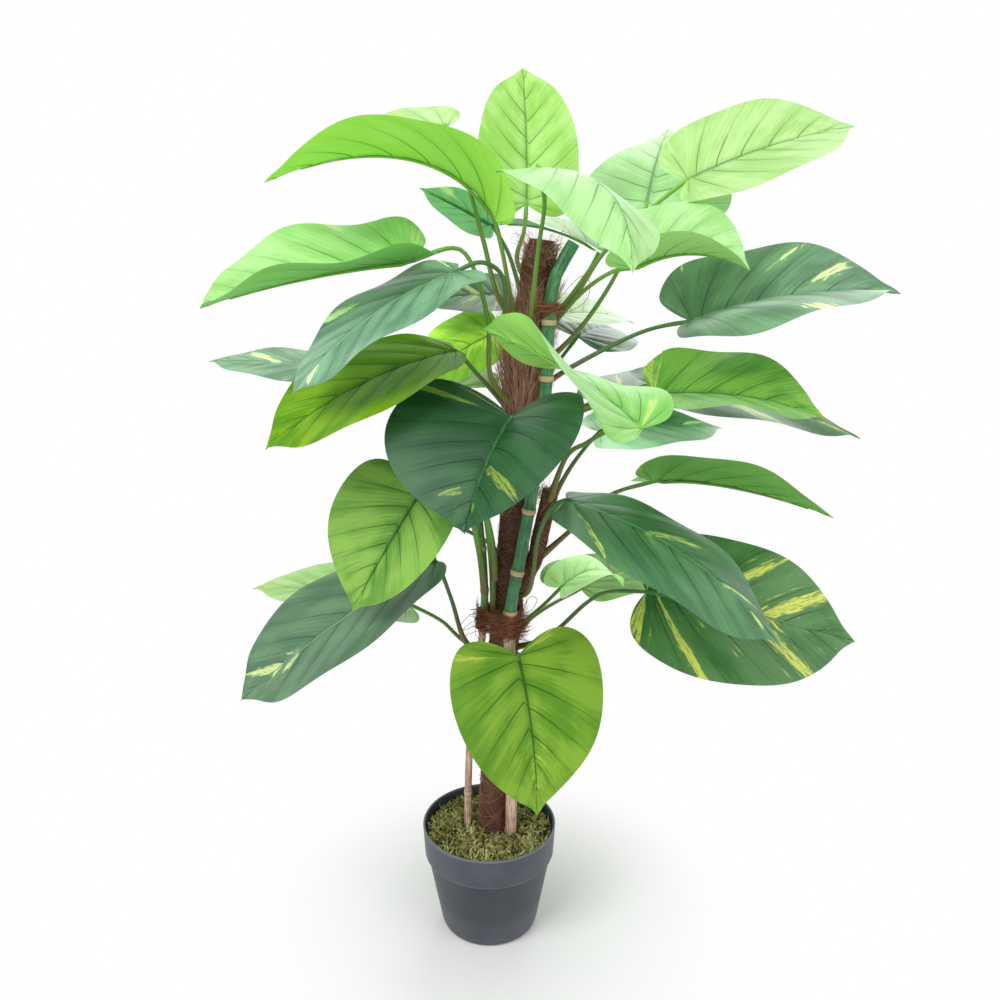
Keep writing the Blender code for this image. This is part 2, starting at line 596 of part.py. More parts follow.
def add_filling(bench, stems):
    """The potting mix and the moss on it, with a hole for each stem."""
    foot = POT_FOOT_ROUND
    floor = POT_WALL + GAP
    mix = turned(bench, "potting_mix", [
        (0.0, MIX_TOP),
        (pot_inner_radius(MIX_TOP) - GAP, MIX_TOP),
        (pot_inner_radius(collar_bottom()) - GAP, collar_bottom()),
        (pot_inner_radius(foot) - GAP, foot),
        (pot_inner_radius(POT_WALL) - foot / 2 - GAP, floor),
        (0.0, floor),
    ], "potting_mix")
    moss = bench.part("moss", moss_mesh(), "moss")
    for name in ("pole", "core", "front_cane", "left_cane"):
        drill = stems[name].skin(name + "_hole", *STEM_FACETS[name], STEM_HOLE_TOP)
        hole = bench.cutter(name + "_hole", drill)
        boolean(mix, hole, "DIFFERENCE")
        if name != "core":
            boolean(moss, hole, "DIFFERENCE")


def moss_mesh():
    """A low mound of moss: rings of points with a small ripple, closed by a flat underside."""
    rim = pot_inner_radius(MOSS_EDGE) - GAP
    low = pot_inner_radius(MIX_TOP + GAP) - GAP
    share = np.linspace(0, 1, MOSS_RINGS + 1)[1:, None]
    angle = np.linspace(0, 2 * math.pi, MOSS_SPOKES, endpoint=False)[None, :]
    bump = MOSS_BUMP * np.sin(7 * angle + 9 * share) * np.sin(11 * share + 3 * angle) * (1 - share**6)
    height = MOSS_EDGE + MOSS_RISE * (1 - share**2) + bump
    top = np.stack([rim * share * np.cos(angle), rim * share * np.sin(angle), height], axis=-1)
    under = np.stack([low * np.cos(angle[0]), low * np.sin(angle[0]),
                      np.full(MOSS_SPOKES, MIX_TOP + GAP)], axis=-1)
    points = [(0, 0, MOSS_EDGE + MOSS_RISE), *top.reshape(-1, 3), *under]
    spokes = MOSS_SPOKES
    faces = [(0, 1 + j, 1 + (j + 1) % spokes) for j in range(spokes)]
    for i in range(MOSS_RINGS):
        for j in range(spokes):
            k = (j + 1) % spokes
            low_ring, high_ring = 1 + (i + 1) * spokes, 1 + i * spokes
            faces.append((high_ring + j, low_ring + j, low_ring + k, high_ring + k))
    faces.append(tuple(1 + MOSS_RINGS * spokes + j for j in range(spokes)))
    return mesh_of("moss", points, faces)


def add_pole(bench, stems):
    """The stake and the coir sleeve wound round it, which is bored from below."""
    count, sides = STEM_FACETS["pole"]
    places, radii = stems["pole"].section(count)
    sleeve = bench.part("coir_sleeve", tube_mesh("coir_sleeve", places, radii, sides), "coir")
    count, sides = STEM_FACETS["core"]
    places, radii = stems["core"].section(count)
    bench.part("pole_core", tube_mesh("pole_core", places, radii, sides), "core_plastic")
    places[-1] += unit(places[-1] - places[-2]) * GAP
    bore = bench.cutter("core_bore", tube_mesh("core_bore", places, radii + GAP, sides))
    boolean(sleeve, bore, "DIFFERENCE")


def add_canes(bench, stems):
    """The green canes with their leaf scars, and the coir-wound side branch."""
    for name in ("front_cane", "left_cane"):
        count, sides = STEM_FACETS[name]
        places, radii = stems[name].section(count)
        bench.part(name, tube_mesh(name, places, radii, sides), "cane")
    count, sides = STEM_FACETS["right_branch"]
    places, radii = stems["right_branch"].section(count)
    branch = bench.part("right_branch", tube_mesh("right_branch", places, radii, sides), "coir")
    boolean(branch, bench.cutters.objects["pole_skin"], "DIFFERENCE")


def belt(members, clearance, count):
    """The taut loop round several circles (x, y, radius), each made larger by the clearance."""
    loop = []
    for i in range(count):
        angle = 2 * math.pi * i / count
        out = np.array([math.cos(angle), math.sin(angle)])
        reach = [np.dot(out, m[:2]) + m[2] for m in members]
        far = members[int(np.argmax(reach))]
        loop.append(np.array(far[:2]) + out * (far[2] + clearance))
    return np.array(loop)


def add_tie(bench, name, span, stems, held):
    """A flat band of coir fibre wound round the pole and the canes it holds."""
    count = TIE_SIDES
    rings = []
    for height, bulge in ((span[0], 0.0), (sum(span) / 2, TIE_BULGE), (span[1], 0.0)):
        members = [(*stems[n].at(height)[:2], stems[n].radius * TIE_ROOM) for n in held]
        inner = belt(members, TIE_CLEARANCE, count)
        outer = belt(members, TIE_CLEARANCE + TIE_THICKNESS + bulge, count)
        rings.append([np.column_stack([loop, np.full(count, height)]) for loop in (inner, outer)])
    loops = [rings[0][0], rings[0][1], rings[1][1], rings[2][1], rings[2][0], rings[1][0]]
    faces = []
    for i in range(len(loops)):
        here, there = i * count, (i + 1) % len(loops) * count
        for j in range(count):
            k = (j + 1) % count
            faces.append((here + j, here + k, there + k, there + j))
    bench.part(name, mesh_of(name, np.vstack(loops), faces), "tie_fibre")


def main():
    """Build every part."""
    clear_scene()
    bench = Bench()
    stake_line = [CORE_FOOT, *POLE_LINE[:-1], CORE_TOP]
    stems = {
        "pole": Stem(POLE_LINE, POLE_RADIUS, taper=POLE_TOP_TAPER),
        "core": Stem(stake_line, CORE_RADIUS),
        "front_cane": Stem(FRONT_CANE_LINE, FRONT_CANE_RADIUS, FRONT_CANE_RINGS),
        "left_cane": Stem(LEFT_CANE_LINE, LEFT_CANE_RADIUS, LEFT_CANE_RINGS),
        "right_branch": Stem(RIGHT_BRANCH_LINE, RIGHT_BRANCH_RADIUS),
    }
    for name in ("pole", "left_cane", "right_branch"):
        bench.cutter(name + "_skin", stems[name].skin(name + "_skin", *STEM_FACETS[name]))
    add_pot(bench)
    add_filling(bench, stems)
    add_pole(bench, stems)
    add_canes(bench, stems)
    add_tie(bench, "lower_tie", LOWER_TIE, stems, ("pole", "front_cane", "left_cane"))
    add_tie(bench, "upper_tie", UPPER_TIE, stems, ("pole", "front_cane"))
    for leaf in LEAVES:
        add_leaf(bench, leaf, stems)


main()
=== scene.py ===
"""The looks of a potted pothos trained up a coir pole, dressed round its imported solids.

Metres, +Z up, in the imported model's own frame: the origin is the middle of the pot's flat underside
and the front of the plant looks towards -Y. Each visible solid is replaced by a fine surface of the
same shape, made from grids of points that numpy works out, and dressed in a material made of nodes.
"""

from __future__ import annotations

import logging
import math
from dataclasses import dataclass
from enum import Enum
from typing import Callable, Mapping, Optional, Sequence, Union

import bmesh
import bpy
import numpy as np
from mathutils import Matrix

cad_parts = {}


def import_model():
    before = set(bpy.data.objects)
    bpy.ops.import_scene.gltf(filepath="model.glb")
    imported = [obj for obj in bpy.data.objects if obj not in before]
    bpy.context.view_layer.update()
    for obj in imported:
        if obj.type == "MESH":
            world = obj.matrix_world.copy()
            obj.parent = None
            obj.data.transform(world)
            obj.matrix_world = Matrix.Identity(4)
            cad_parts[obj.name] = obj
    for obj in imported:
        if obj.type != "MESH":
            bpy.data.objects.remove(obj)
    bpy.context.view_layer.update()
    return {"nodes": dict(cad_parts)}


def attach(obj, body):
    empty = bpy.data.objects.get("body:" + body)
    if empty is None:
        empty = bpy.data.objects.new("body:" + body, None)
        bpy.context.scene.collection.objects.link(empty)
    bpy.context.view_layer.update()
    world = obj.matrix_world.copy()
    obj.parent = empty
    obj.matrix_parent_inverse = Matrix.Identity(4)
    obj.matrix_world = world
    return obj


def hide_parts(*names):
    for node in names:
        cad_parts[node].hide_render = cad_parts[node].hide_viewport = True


LOG = logging.getLogger("pothos")
BODY = "root"
FULL_TURN = 2 * math.pi
UP = np.array([0.0, 0.0, 1.0])
MM = 1000
"""Millimetres in a metre."""

Colour = tuple[float, float, float]
Place = tuple[float, float, float]
Span = tuple[float, float]
Array = np.ndarray


# -------------------- Numbers and curves --------------------


def srgb(red: int, green: int, blue: int) -> Colour:
    """A colour named by 0 to 255 a channel, as the linear values that shaders take."""
    parts = np.array([red, green, blue]) / 255
    linear = np.where(parts <= 0.04045, parts / 12.92, ((parts + 0.055) / 1.055) ** 2.4)
    return tuple(float(part) for part in linear)


def unit(arrows: Array) -> Array:
    """Vectors of length one along the last axis."""
    return arrows / np.maximum(np.linalg.norm(arrows, axis=-1, keepdims=True), 1e-12)


def vectors(*parts: Union[float, Array]) -> Array:
    """These numbers, spread to one shape, as the parts of vectors along a new last axis."""
    return np.stack(np.broadcast_arrays(*parts), axis=-1)


def ring_angles(sides: int) -> Array:
    """Angles of the corners of a ring, with its first again at the end."""
    return np.linspace(0, FULL_TURN, sides + 1)


def polar(radius: Union[float, Array], angle: Array) -> tuple[Array, Array]:
    """The x and y of places at this distance from the middle, at these angles."""
    return radius * np.cos(angle), radius * np.sin(angle)


def around(angle: Array) -> Array:
    """The level directions at these angles: (cos, sin, 0)."""
    return vectors(*polar(1.0, angle), 0.0)


def any_way(rng: np.random.Generator, *shape: int) -> Array:
    """Random directions in an array of this shape."""
    return unit(rng.normal(size=(*shape, 3)))


def bell(x: Array, middle: float, width: float) -> Array:
    """A bell of height one: exp of minus the squared distance from the middle, in widths."""
    return np.exp(-(((x - middle) / width) ** 2))


def ramp(x: Array, low: float, high: float) -> Array:
    """A smooth step from 0 at `low` to 1 at `high`: t squared times (3 - 2 t)."""
    t = np.clip((x - low) / (high - low), 0, 1)
    return t * t * (3 - 2 * t)


def smooth_path(points: Sequence[Place], count: int, fine_steps: int = 40) -> Array:
    """A Catmull-Rom curve through points, read at places evenly spaced along its length.

    Args:
        points: The points that the curve passes, in order.
        count: How many places to read.
        fine_steps: Places worked out between two neighbouring points before the even reading.

    Returns:
        The places, as an array (count, 3).
    """
    line = np.asarray(points, float)
    padded = np.vstack([2 * line[0] - line[1], line, 2 * line[-1] - line[-2]])
    t = np.linspace(0, 1, fine_steps, endpoint=False)[None, :, None]
    a, b, c, d = (padded[k : len(line) - 1 + k, None, :] for k in range(4))
    bend = (2 * a - 5 * b + 4 * c - d) * t**2 + (-a + 3 * b - 3 * c + d) * t**3
    fine = np.vstack([(0.5 * (2 * b + (c - a) * t + bend)).reshape(-1, 3), line[-1:]])
    run = np.concatenate([[0], np.cumsum(np.linalg.norm(np.diff(fine, axis=0), axis=1))])
    wanted = np.linspace(0, run[-1], count)
    return np.stack([np.interp(wanted, run, fine[:, k]) for k in range(3)], axis=1)


def frames(path: Array) -> tuple[Array, Array]:
    """Directions across and up for each place of a path.

    Across is the direction along crossed with the normal of the plane that fits the path best,
    so the frame doesn't twist on a path that bends one way.
    """
    along = unit(np.gradient(path, axis=0))
    plane = np.linalg.svd(path - path.mean(axis=0))[2][2]
    across = unit(np.cross(along, plane))
    return across, np.cross(across, along)


HASH_AXES = (73856093, 19349663, 83492791)
HASH_SEED = 7919
HASH_MIX = 1274126177


def lattice_noise(points: Array, seed: int) -> Array:
    """Smooth noise from -1 to 1: a random value at each whole-number corner, blended between.

    Args:
        points: Places in units of the noise's grain, (..., 3).
        seed: Picks the random values.

    Returns:
        One value for each place.
    """
    cell = np.floor(points).astype(np.int64)
    t = points - cell
    t = t * t * (3 - 2 * t)
    total = np.zeros(points.shape[:-1])
    for corner in np.ndindex(2, 2, 2):
        at = cell + np.array(corner)
        mixed = np.bitwise_xor.reduce(at * HASH_AXES, axis=-1) ^ seed * HASH_SEED
        mixed = (mixed ^ mixed >> 13) * HASH_MIX
        value = ((mixed ^ mixed >> 16) & 0xFFFF) / 32767.5 - 1
        share = np.prod(np.where(np.array(corner) == 1, t, 1 - t), axis=-1)
        total = total + value * share
    return total


def round_noise(angle: Array, height: Array, across: float, up: float, seed: int) -> Array:
    """Noise on a round stem, at (cos times across, sin times across, height times up)."""
    return lattice_noise(vectors(*polar(across, angle), height * up), seed)


# -------------------- Meshes --------------------


class Skin:
    """A mesh gathered from grids of points, with a flat place (u, v) for every face corner."""

    MAP = "skin_map"
    WELD = 1e-6

    def __init__(self, name: str) -> None:
        self.name = name
        self.points: list[Array] = []
        self.faces: list[Array] = []
        self.places: list[Array] = []
        self.slots: list[Array] = []
        self.values: dict[str, list[Array]] = {}
        self.count = 0

    def grid(
        self, points: Array, places: Array, slot: int = 0, values: Optional[Mapping[str, Array]] = None
    ) -> None:
        """Add a grid of quads.

        Args:
            points: The grid's points, (rows, columns, 3).
            places: Each point's (u, v), (rows, columns, 2).
            slot: Number of the material that the quads wear.
            values: Named numbers, one for each point.
        """
        rows, columns = points.shape[:2]
        number = np.arange(rows * columns).reshape(rows, columns)
        corners = (number[:-1, :-1], number[:-1, 1:], number[1:, 1:], number[1:, :-1])
        quads = np.stack(corners, axis=-1).reshape(-1, 4)
        self.places.append(places.reshape(-1, 2)[quads].reshape(-1, 2))
        self.faces.append(quads + self.count)
        self.slots.append(np.full(len(quads), slot))
        self.points.append(points.reshape(-1, 3))
        for key in sorted(set(self.values) | set(values or {})):
            before = self.values.setdefault(key, [np.zeros(self.count)])
            own = values[key] if values and key in values else np.zeros((rows, columns))
            before.append(np.broadcast_to(own, (rows, columns)).ravel())
        self.count += rows * columns

    def tube(
        self, path: Array, radii: Union[float, Array], sides: int, slot: int = 0,
        values: Optional[Mapping[str, Union[float, Array]]] = None,
    ) -> None:
        """Add a round tube: each place plus its radius times (cos across + sin up), closed at both ends.

        Args:
            path: The middle line, (stations, 3).
            radii: The radius: one, or (stations,), or (stations, sides + 1).
            sides: Points round the tube.
            slot: Number of the material.
            values: Named numbers, one for the tube or one for each station.
        """
        across, up = frames(path)
        count = len(path)
        angle = ring_angles(sides)
        radii = np.asarray(radii, float)
        radii = np.broadcast_to(radii if radii.ndim == 2 else radii.reshape(-1, 1), (count, sides + 1))
        ring = np.cos(angle)[None, :, None] * across[:, None] + np.sin(angle)[None, :, None] * up[:, None]
        points = path[:, None] + radii[..., None] * ring
        caps = [np.broadcast_to(path[end, None, None], points[:1].shape) for end in (0, -1)]
        points = np.concatenate([caps[0], points, caps[1]])
        points[:, -1] = points[:, 0]
        stations = np.r_[0, 0:count, count - 1]
        run = np.linspace(0, 1, count)[stations]
        own = {key: np.broadcast_to(value, count)[stations][:, None] for key, value in (values or {}).items()}
        self.grid(points, vectors(angle / FULL_TURN, run[:, None]), slot, own)

    def piece(self, finishes: Sequence["Finish"], sharp: float = 50.0) -> bpy.types.Object:
        """Make the object: doubles merged, so seams and poles close, and faces turned outwards.

        Args:
            finishes: The finishes of the material slots, in order.
            sharp: Angle in degrees past which an edge is shaded sharp.

        Returns:
            The new object, at the origin.
        """
        mesh = bpy.data.meshes.new(self.name)
        mesh.from_pydata(np.vstack(self.points).tolist(), [], np.vstack(self.faces).tolist())
        layer = mesh.uv_layers.new(name=self.MAP)
        layer.uv.foreach_set("vector", np.vstack(self.places).astype(np.float32).ravel())
        mesh.polygons.foreach_set("material_index", np.concatenate(self.slots).astype(np.int32))
        for key, parts in self.values.items():
            write_value(mesh, key, np.concatenate(parts))
        shape = bmesh.new()
        shape.from_mesh(mesh)
        bmesh.ops.remove_doubles(shape, verts=shape.verts, dist=self.WELD)
        bmesh.ops.recalc_face_normals(shape, faces=shape.faces)
        shape.to_mesh(mesh)
        shape.free()
        mesh.shade_smooth()
        mesh.set_sharp_from_angle(angle=math.radians(sharp))
        return placed(self.name, mesh, finishes)


def write_value(mesh: bpy.types.Mesh, name: str, numbers: Array) -> None:
    """Keep one number for each point of a mesh, under this name."""
    mesh.attributes.new(name, "FLOAT", "POINT").data.foreach_set("value", numbers.astype(np.float32))


def placed(name: str, data: bpy.types.ID, finishes: Sequence["Finish"] = ()) -> bpy.types.Object:
    """An object of this data in the scene, at the origin, wearing the finishes."""
    made = bpy.data.objects.new(name, data)
    bpy.context.scene.collection.objects.link(made)
    for finish in finishes:
        data.materials.append(finish.material())
    return made


def strands(
    name: str, curves: Array, radii: Array, tones: Array, finish: "Finish", rng: np.random.Generator
) -> bpy.types.Object:
    """Many thin three-sided strands in one mesh, each closed at both ends by a triangle.

    A strand's ring is its place plus its radius times (cos across + sin up), where across is the
    strand's direction crossed with a random vector of its own.

    Args:
        name: The object's name.
        curves: The strands' middle lines, (strands, stations, 3).
        radii: Radius at each station, (strands, stations).
        tones: One number for each strand, kept as the attribute "tone".
        finish: The finish of all strands.
        rng: Where the random vectors come from.

    Returns:
        The new object.
    """
    count, stations = curves.shape[:2]
    along = unit(np.gradient(curves, axis=1))
    across = unit(np.cross(along, any_way(rng, count, 1)))
    up = np.cross(along, across)
    angle = np.array([0.0, 2.0, 4.0]) * math.pi / 3
    ring = np.cos(angle)[:, None] * across[:, :, None, :] + np.sin(angle)[:, None] * up[:, :, None, :]
    points = curves[:, :, None, :] + radii[:, :, None, None] * ring
    number = np.arange(points[..., 0].size).reshape(count, stations, 3)
    after = np.roll(number, -1, axis=2)
    sides = (number[:, :-1], after[:, :-1], after[:, 1:], number[:, 1:])
    quads = np.stack(sides, axis=-1).reshape(-1, 4)
    caps = np.concatenate([number[:, 0, ::-1], number[:, -1]])
    mesh = bpy.data.meshes.new(name)
    mesh.from_pydata(points.reshape(-1, 3).tolist(), [], quads.tolist() + caps.tolist())
    write_value(mesh, "tone", np.repeat(tones, stations * 3))
    mesh.shade_smooth()
    return placed(name, mesh, [finish])


# -------------------- Materials --------------------


def math_node(operation: str, swapped: bool = False) -> Callable[..., "Term"]:
    """A term's method that puts it, with any other numbers, through a Math node of this operation."""

    def method(term: "Term", *others: "Number") -> "Term":
        return term.recipe.math(operation, *((*others, term) if swapped else (term, *others)))

    return method


class Term:
    """A shader socket that takes part in Python arithmetic, which adds Math nodes.

    `fraction` gives the part after the decimal point, and `most` the larger of two.
    """

    def __init__(self, recipe: "Recipe", socket: bpy.types.NodeSocket) -> None:
        self.recipe = recipe
        self.socket = socket

    __add__ = __radd__ = math_node("ADD")
    __mul__ = __rmul__ = math_node("MULTIPLY")
    __sub__ = math_node("SUBTRACT")
    __rsub__ = math_node("SUBTRACT", swapped=True)
    __abs__ = math_node("ABSOLUTE")
    __gt__ = math_node("GREATER_THAN")
    fraction = math_node("FRACT")
    most = math_node("MAXIMUM")

    def swing(self, size: float) -> "Term":
        """How far a value lies from its middle at 0.5, times a size."""
        return (self - 0.5) * size

    def rise(self, low: float, high: float) -> "Term":
        """A smooth step from 0 at `low` to 1 at `high`."""
        settings = {"interpolation_type": "SMOOTHSTEP"}
        inputs = {"Value": self, "From Min": low, "From Max": high}
        return self.recipe.term(self.recipe.node("ShaderNodeMapRange", settings, inputs), "Result")

    def fall(self, low: float, high: float) -> "Term":
        """A smooth step from 1 at `low` to 0 at `high`."""
        return 1 - self.rise(low, high)


Number = Union[Term, float]


class Recipe:
    """A material being written: its Principled shader, and one way to add any other node."""

    def __init__(self, name: str) -> None:
        self.made = bpy.data.materials.new(name)
        self.made.use_nodes = True
        self.tree = self.made.node_tree
        self.shader = self.tree.nodes["Principled BSDF"]

    def node(
        self, kind: str, settings: Optional[Mapping[str, object]] = None,
        inputs: Optional[Mapping[Union[str, int], object]] = None,
    ) -> bpy.types.Node:
        """Add a node.

        Args:
            kind: The node's type name.
            settings: Its properties, set first.
            inputs: Values or links of its sockets, by name or number.

        Returns:
            The node.
        """
        made = self.tree.nodes.new(kind)
        for key, value in (settings or {}).items():
            setattr(made, key, value)
        for key, value in (inputs or {}).items():
            self.feed(made.inputs[key], value)
        return made

    def feed(self, socket: bpy.types.NodeSocket, value: object) -> None:
        """Link a term to a socket, or set the socket's own value."""
        if isinstance(value, Term):
            self.tree.links.new(value.socket, socket)
        elif socket.type == "RGBA":
            socket.default_value = (*value, 1.0)
        else:
            socket.default_value = value

    def term(self, node: bpy.types.Node, output: Union[str, int] = 0) -> Term:
        """One output of a node."""
        return Term(self, node.outputs[output])

    def math(self, operation: str, *values: Number) -> Term:
        """A Math node of this operation on the values."""
        return self.term(self.node("ShaderNodeMath", {"operation": operation}, dict(enumerate(values))))

    def parts(self, vector: Term) -> tuple[Term, Term, Term]:
        """The three numbers of a vector."""
        made = self.node("ShaderNodeSeparateXYZ", None, {0: vector})
        return self.term(made, 0), self.term(made, 1), self.term(made, 2)

    def vector(self, x: Number, y: Number, z: Number) -> Term:
        """A vector of three numbers."""
        return self.term(self.node("ShaderNodeCombineXYZ", None, {0: x, 1: y, 2: z}))

    def here(self) -> Term:
        """The place on the piece, in metres."""
        return self.term(self.node("ShaderNodeTexCoord"), "Object")

    def skin_place(self) -> Term:
        """The flat place of the piece's own map."""
        return self.term(self.node("ShaderNodeUVMap", {"uv_map": Skin.MAP}))

    def value(self, name: str) -> Term:
        """A named number of the mesh."""
        return self.term(self.node("ShaderNodeAttribute", {"attribute_name": name}), "Fac")

    def noise(self, vector: Term, scale: float, detail: float = 2.0, rough: float = 0.5) -> Term:
        """Cloudy noise around 0.5."""
        inputs = {"Vector": vector, "Scale": scale, "Detail": detail, "Roughness": rough}
        return self.term(self.node("ShaderNodeTexNoise", None, inputs), "Fac")

    def cells(self, vector: Term, scale: float, output: str = "Distance") -> Term:
        """Distance to the nearest of scattered points, or that point's random colour."""
        return self.term(self.node("ShaderNodeTexVoronoi", None, {"Vector": vector, "Scale": scale}), output)

    def stretched(self, vector: Term, by: Place, shift: Place = (0.0, 0.0, 0.0)) -> Term:
        """A vector moved and multiplied, so that a pattern is drawn out or shifted."""
        inputs = {"Vector": vector, "Location": shift, "Scale": by}
        return self.term(self.node("ShaderNodeMapping", None, inputs))

    def mix(self, share: Number, low: Union[Term, Colour], high: Union[Term, Colour]) -> Term:
        """A colour between two, by a share from 0 to 1."""
        made = self.node("ShaderNodeMix", {"data_type": "RGBA"}, {"Factor": share})
        self.feed(made.inputs[6], low)
        self.feed(made.inputs[7], high)
        return self.term(made, 2)

    def finish(
        self, colour: Union[Term, Colour], roughness: Number, height: Optional[Term] = None,
        depth: float = 0.0005, specular: Optional[float] = None,
    ) -> bpy.types.Material:
        """Feed the Principled shader.

        Args:
            colour: The base colour.
            roughness: The roughness.
            height: A height from 0 to 1 for the Bump node.
            depth: The height's size in metres.
            specular: How strongly the surface shines, if not as usual.

        Returns:
            The material.
        """
        self.feed(self.shader.inputs["Base Color"], colour)
        self.feed(self.shader.inputs["Roughness"], roughness)
        if height is not None:
            bump = self.node("ShaderNodeBump", None, {"Distance": depth, "Height": height})
            self.feed(self.shader.inputs["Normal"], self.term(bump, "Normal"))
        if specular is not None:
            self.feed(self.shader.inputs["Specular IOR Level"], specular)
        return self.made


class Finish:
    """A finish that a piece wears. Each kind writes its own material, once."""

    def material(self) -> bpy.types.Material:
        """The finish's material, made at its first use."""
        name = self.title()
        return bpy.data.materials.get(name) or self.write(Recipe(name))

    def title(self) -> str:
        """The material's name: the finish's own, or else that of its kind."""
        return getattr(self, "name", type(self).__name__)

    def write(self, recipe: Recipe) -> bpy.types.Material:
        """Write the nodes."""
        raise NotImplementedError


@dataclass(frozen=True)
class TwoTone(Finish):
    """A finish between two colours, with a name of its own.

    Attributes:
        name: The material's name.
        low: The darker colour.
        high: The lighter colour.
    """

    name: str
    low: Colour
    high: Colour


class LeafKind(Enum):
    """The three colour types of leaf, by the record's material slot."""

    LIGHT = "light_leaf"
    OLIVE = "olive_leaf"
    DARK = "dark_leaf"


@dataclass(frozen=True)
class LeafColours:
    """Colours of one type of leaf.

    Attributes:
        body: The blade.
        glow: The lighter stretches between two side veins.
        vein: The side veins and their shade.
        rib: The midrib, seen from above.
        under: The underside.
        streak: The variegation.
        stalk: The green of the stalk.
        roughness: How matt the blade is.
        specular: How strongly it shines.
    """

    body: Colour
    glow: Colour
    vein: Colour
    rib: Colour
    under: Colour
    streak: Colour
    stalk: Colour
    roughness: float
    specular: float


LEAF_COLOURS: dict[LeafKind, LeafColours] = {
    LeafKind.LIGHT: LeafColours(
        body=srgb(158, 218, 92), glow=srgb(188, 238, 136), vein=srgb(50, 112, 24), rib=srgb(80, 146, 44),
        under=srgb(140, 216, 66), streak=srgb(232, 244, 136), stalk=srgb(116, 164, 62),
        roughness=0.42, specular=0.40,
    ),
    LeafKind.OLIVE: LeafColours(
        body=srgb(100, 154, 42), glow=srgb(144, 188, 62), vein=srgb(30, 74, 16), rib=srgb(42, 90, 24),
        under=srgb(118, 174, 74), streak=srgb(208, 222, 98), stalk=srgb(104, 140, 56),
        roughness=0.46, specular=0.13,
    ),
    LeafKind.DARK: LeafColours(
        body=srgb(50, 108, 62), glow=srgb(76, 136, 80), vein=srgb(16, 54, 32), rib=srgb(88, 156, 82),
        under=srgb(82, 152, 86), streak=srgb(210, 232, 104), stalk=srgb(88, 132, 66),
        roughness=0.38, specular=0.42,
    ),
}


# Painted light: the bright yellow-green of light shining through a thin blade, laid on the underside of
# leaves in shade.
PAINTED_BACKLIGHT = srgb(200, 250, 112)
UNDER_MAP = 4.0
"""How much larger the map's u is on the underside of a blade than on its upper face."""


@dataclass(frozen=True)
class BladeFinish(Finish):
    """A leaf blade: side veins, midrib, lighter stretches, streaks, and an underside that painted light, as
    if shining through the blade, can make paler.

    The map's u runs from -1 at the left margin over 0 at the midrib to 1 at the right margin, and
    is larger on the underside. Its v counts the side veins, which lie half-way between whole
    numbers.

    Attributes:
        name: The material's name: one for each leaf.
        kind: The leaf's colour type.
        seed: Moves the patterns.
        marks: The leaf's own marks.
    """

    name: str
    kind: LeafKind
    seed: float
    marks: "Marks"

    def write(self, recipe: Recipe) -> bpy.types.Material:
        """Write the nodes."""
        colours = LEAF_COLOURS[self.kind]
        u, v, _ = recipe.parts(recipe.skin_place())
        under = u > UNDER_MAP / 2
        across = u - under * UNDER_MAP
        reach = abs(across)
        here = recipe.here()
        cloud = recipe.noise(recipe.stretched(here, (1, 1, 1), (self.seed, 0, 0)), 38, 3)
        count = v + cloud.swing(0.06)
        gap = abs(count.fraction() - 0.5)
        fade = reach.fall(0.35, 0.95)
        side_vein = (gap * (0.45 + reach)).fall(0.005, 0.024) * (fade * 0.8 + 0.2)
        shade = gap.fall(0.01, 0.16) * fade
        fine = abs((count * 5).fraction() - 0.5).fall(0.0, 0.16) * (reach.fall(0.4, 0.9) * 0.7 + 0.3)
        rib = reach.fall(0.012, 0.034)
        rib_shade = reach.fall(0.02, 0.14)
        drawn = recipe.vector(across * 0.7 + self.seed * 3.7, count * 3.2, self.seed)
        stripes = recipe.noise(drawn, 2.6, 4, 0.55)
        wash = recipe.noise(recipe.vector(across * 0.9, v * 0.32, self.seed + 5), 1.9, 2)
        weight = recipe.value("streak")
        spots = recipe.vector(across * 1.7 + self.seed * 5.3, count * 3.6, self.seed + 2)
        blot = recipe.noise(spots, 2.1, 5, 0.62)
        sprinkle = blot * 0.9 + stripes * 0.3 + weight * 0.5 + self.marks.marbling * 0.28
        speck = recipe.noise(recipe.vector(across * 4 + self.seed, count * 11, self.seed + 9), 2.2, 3, 0.6)
        streak = sprinkle.rise(0.85, 0.98) * (1 - rib) * (stripes * 0.6 + speck * 0.8).rise(0.50, 0.76)
        edge = sprinkle.rise(0.66, 0.94)
        glow = (wash.swing(2.6) + gap * 0.8 + stripes.swing(1.2) + 0.32 - fine * 0.3).rise(0.0, 1.0)
        colour = recipe.mix(glow, colours.body, colours.glow)
        colour = recipe.mix(edge * 0.65, colour, colours.glow)
        colour = recipe.mix(under * 0.7, colour, colours.under)
        # Painted light on the underside, as if shining through the blade, by the leaf's pale share.
        colour = recipe.mix(under * self.marks.pale, colour, PAINTED_BACKLIGHT)
        veins = (side_vein * 0.85).most(shade * 0.14).most(rib_shade * 0.22)
        colour = recipe.mix(veins, colour, colours.vein)
        colour = recipe.mix(streak * (0.9 - under * 0.5), colour, colours.streak)
        colour = recipe.mix(rib * 0.8, colour, colours.rib)
        # Painted light and sheen: the leaf's tone brightens leaves that lie in shade, and a low vivid with it
        # greys in a sheen.
        own = {"Value": self.marks.tone, "Saturation": self.marks.vivid, "Hue": self.marks.hue}
        lit = recipe.node("ShaderNodeHueSaturation", None, own)
        recipe.feed(lit.inputs["Color"], colour)
        grain = recipe.noise(here, 900, 2)
        height = 1 - side_vein * 0.6 - rib * 0.4 + grain.swing(0.06) + fine * -0.10
        matt = colours.roughness + cloud.swing(0.16) + under * 0.12
        return recipe.finish(recipe.term(lit), matt, height, 0.0004, colours.specular)


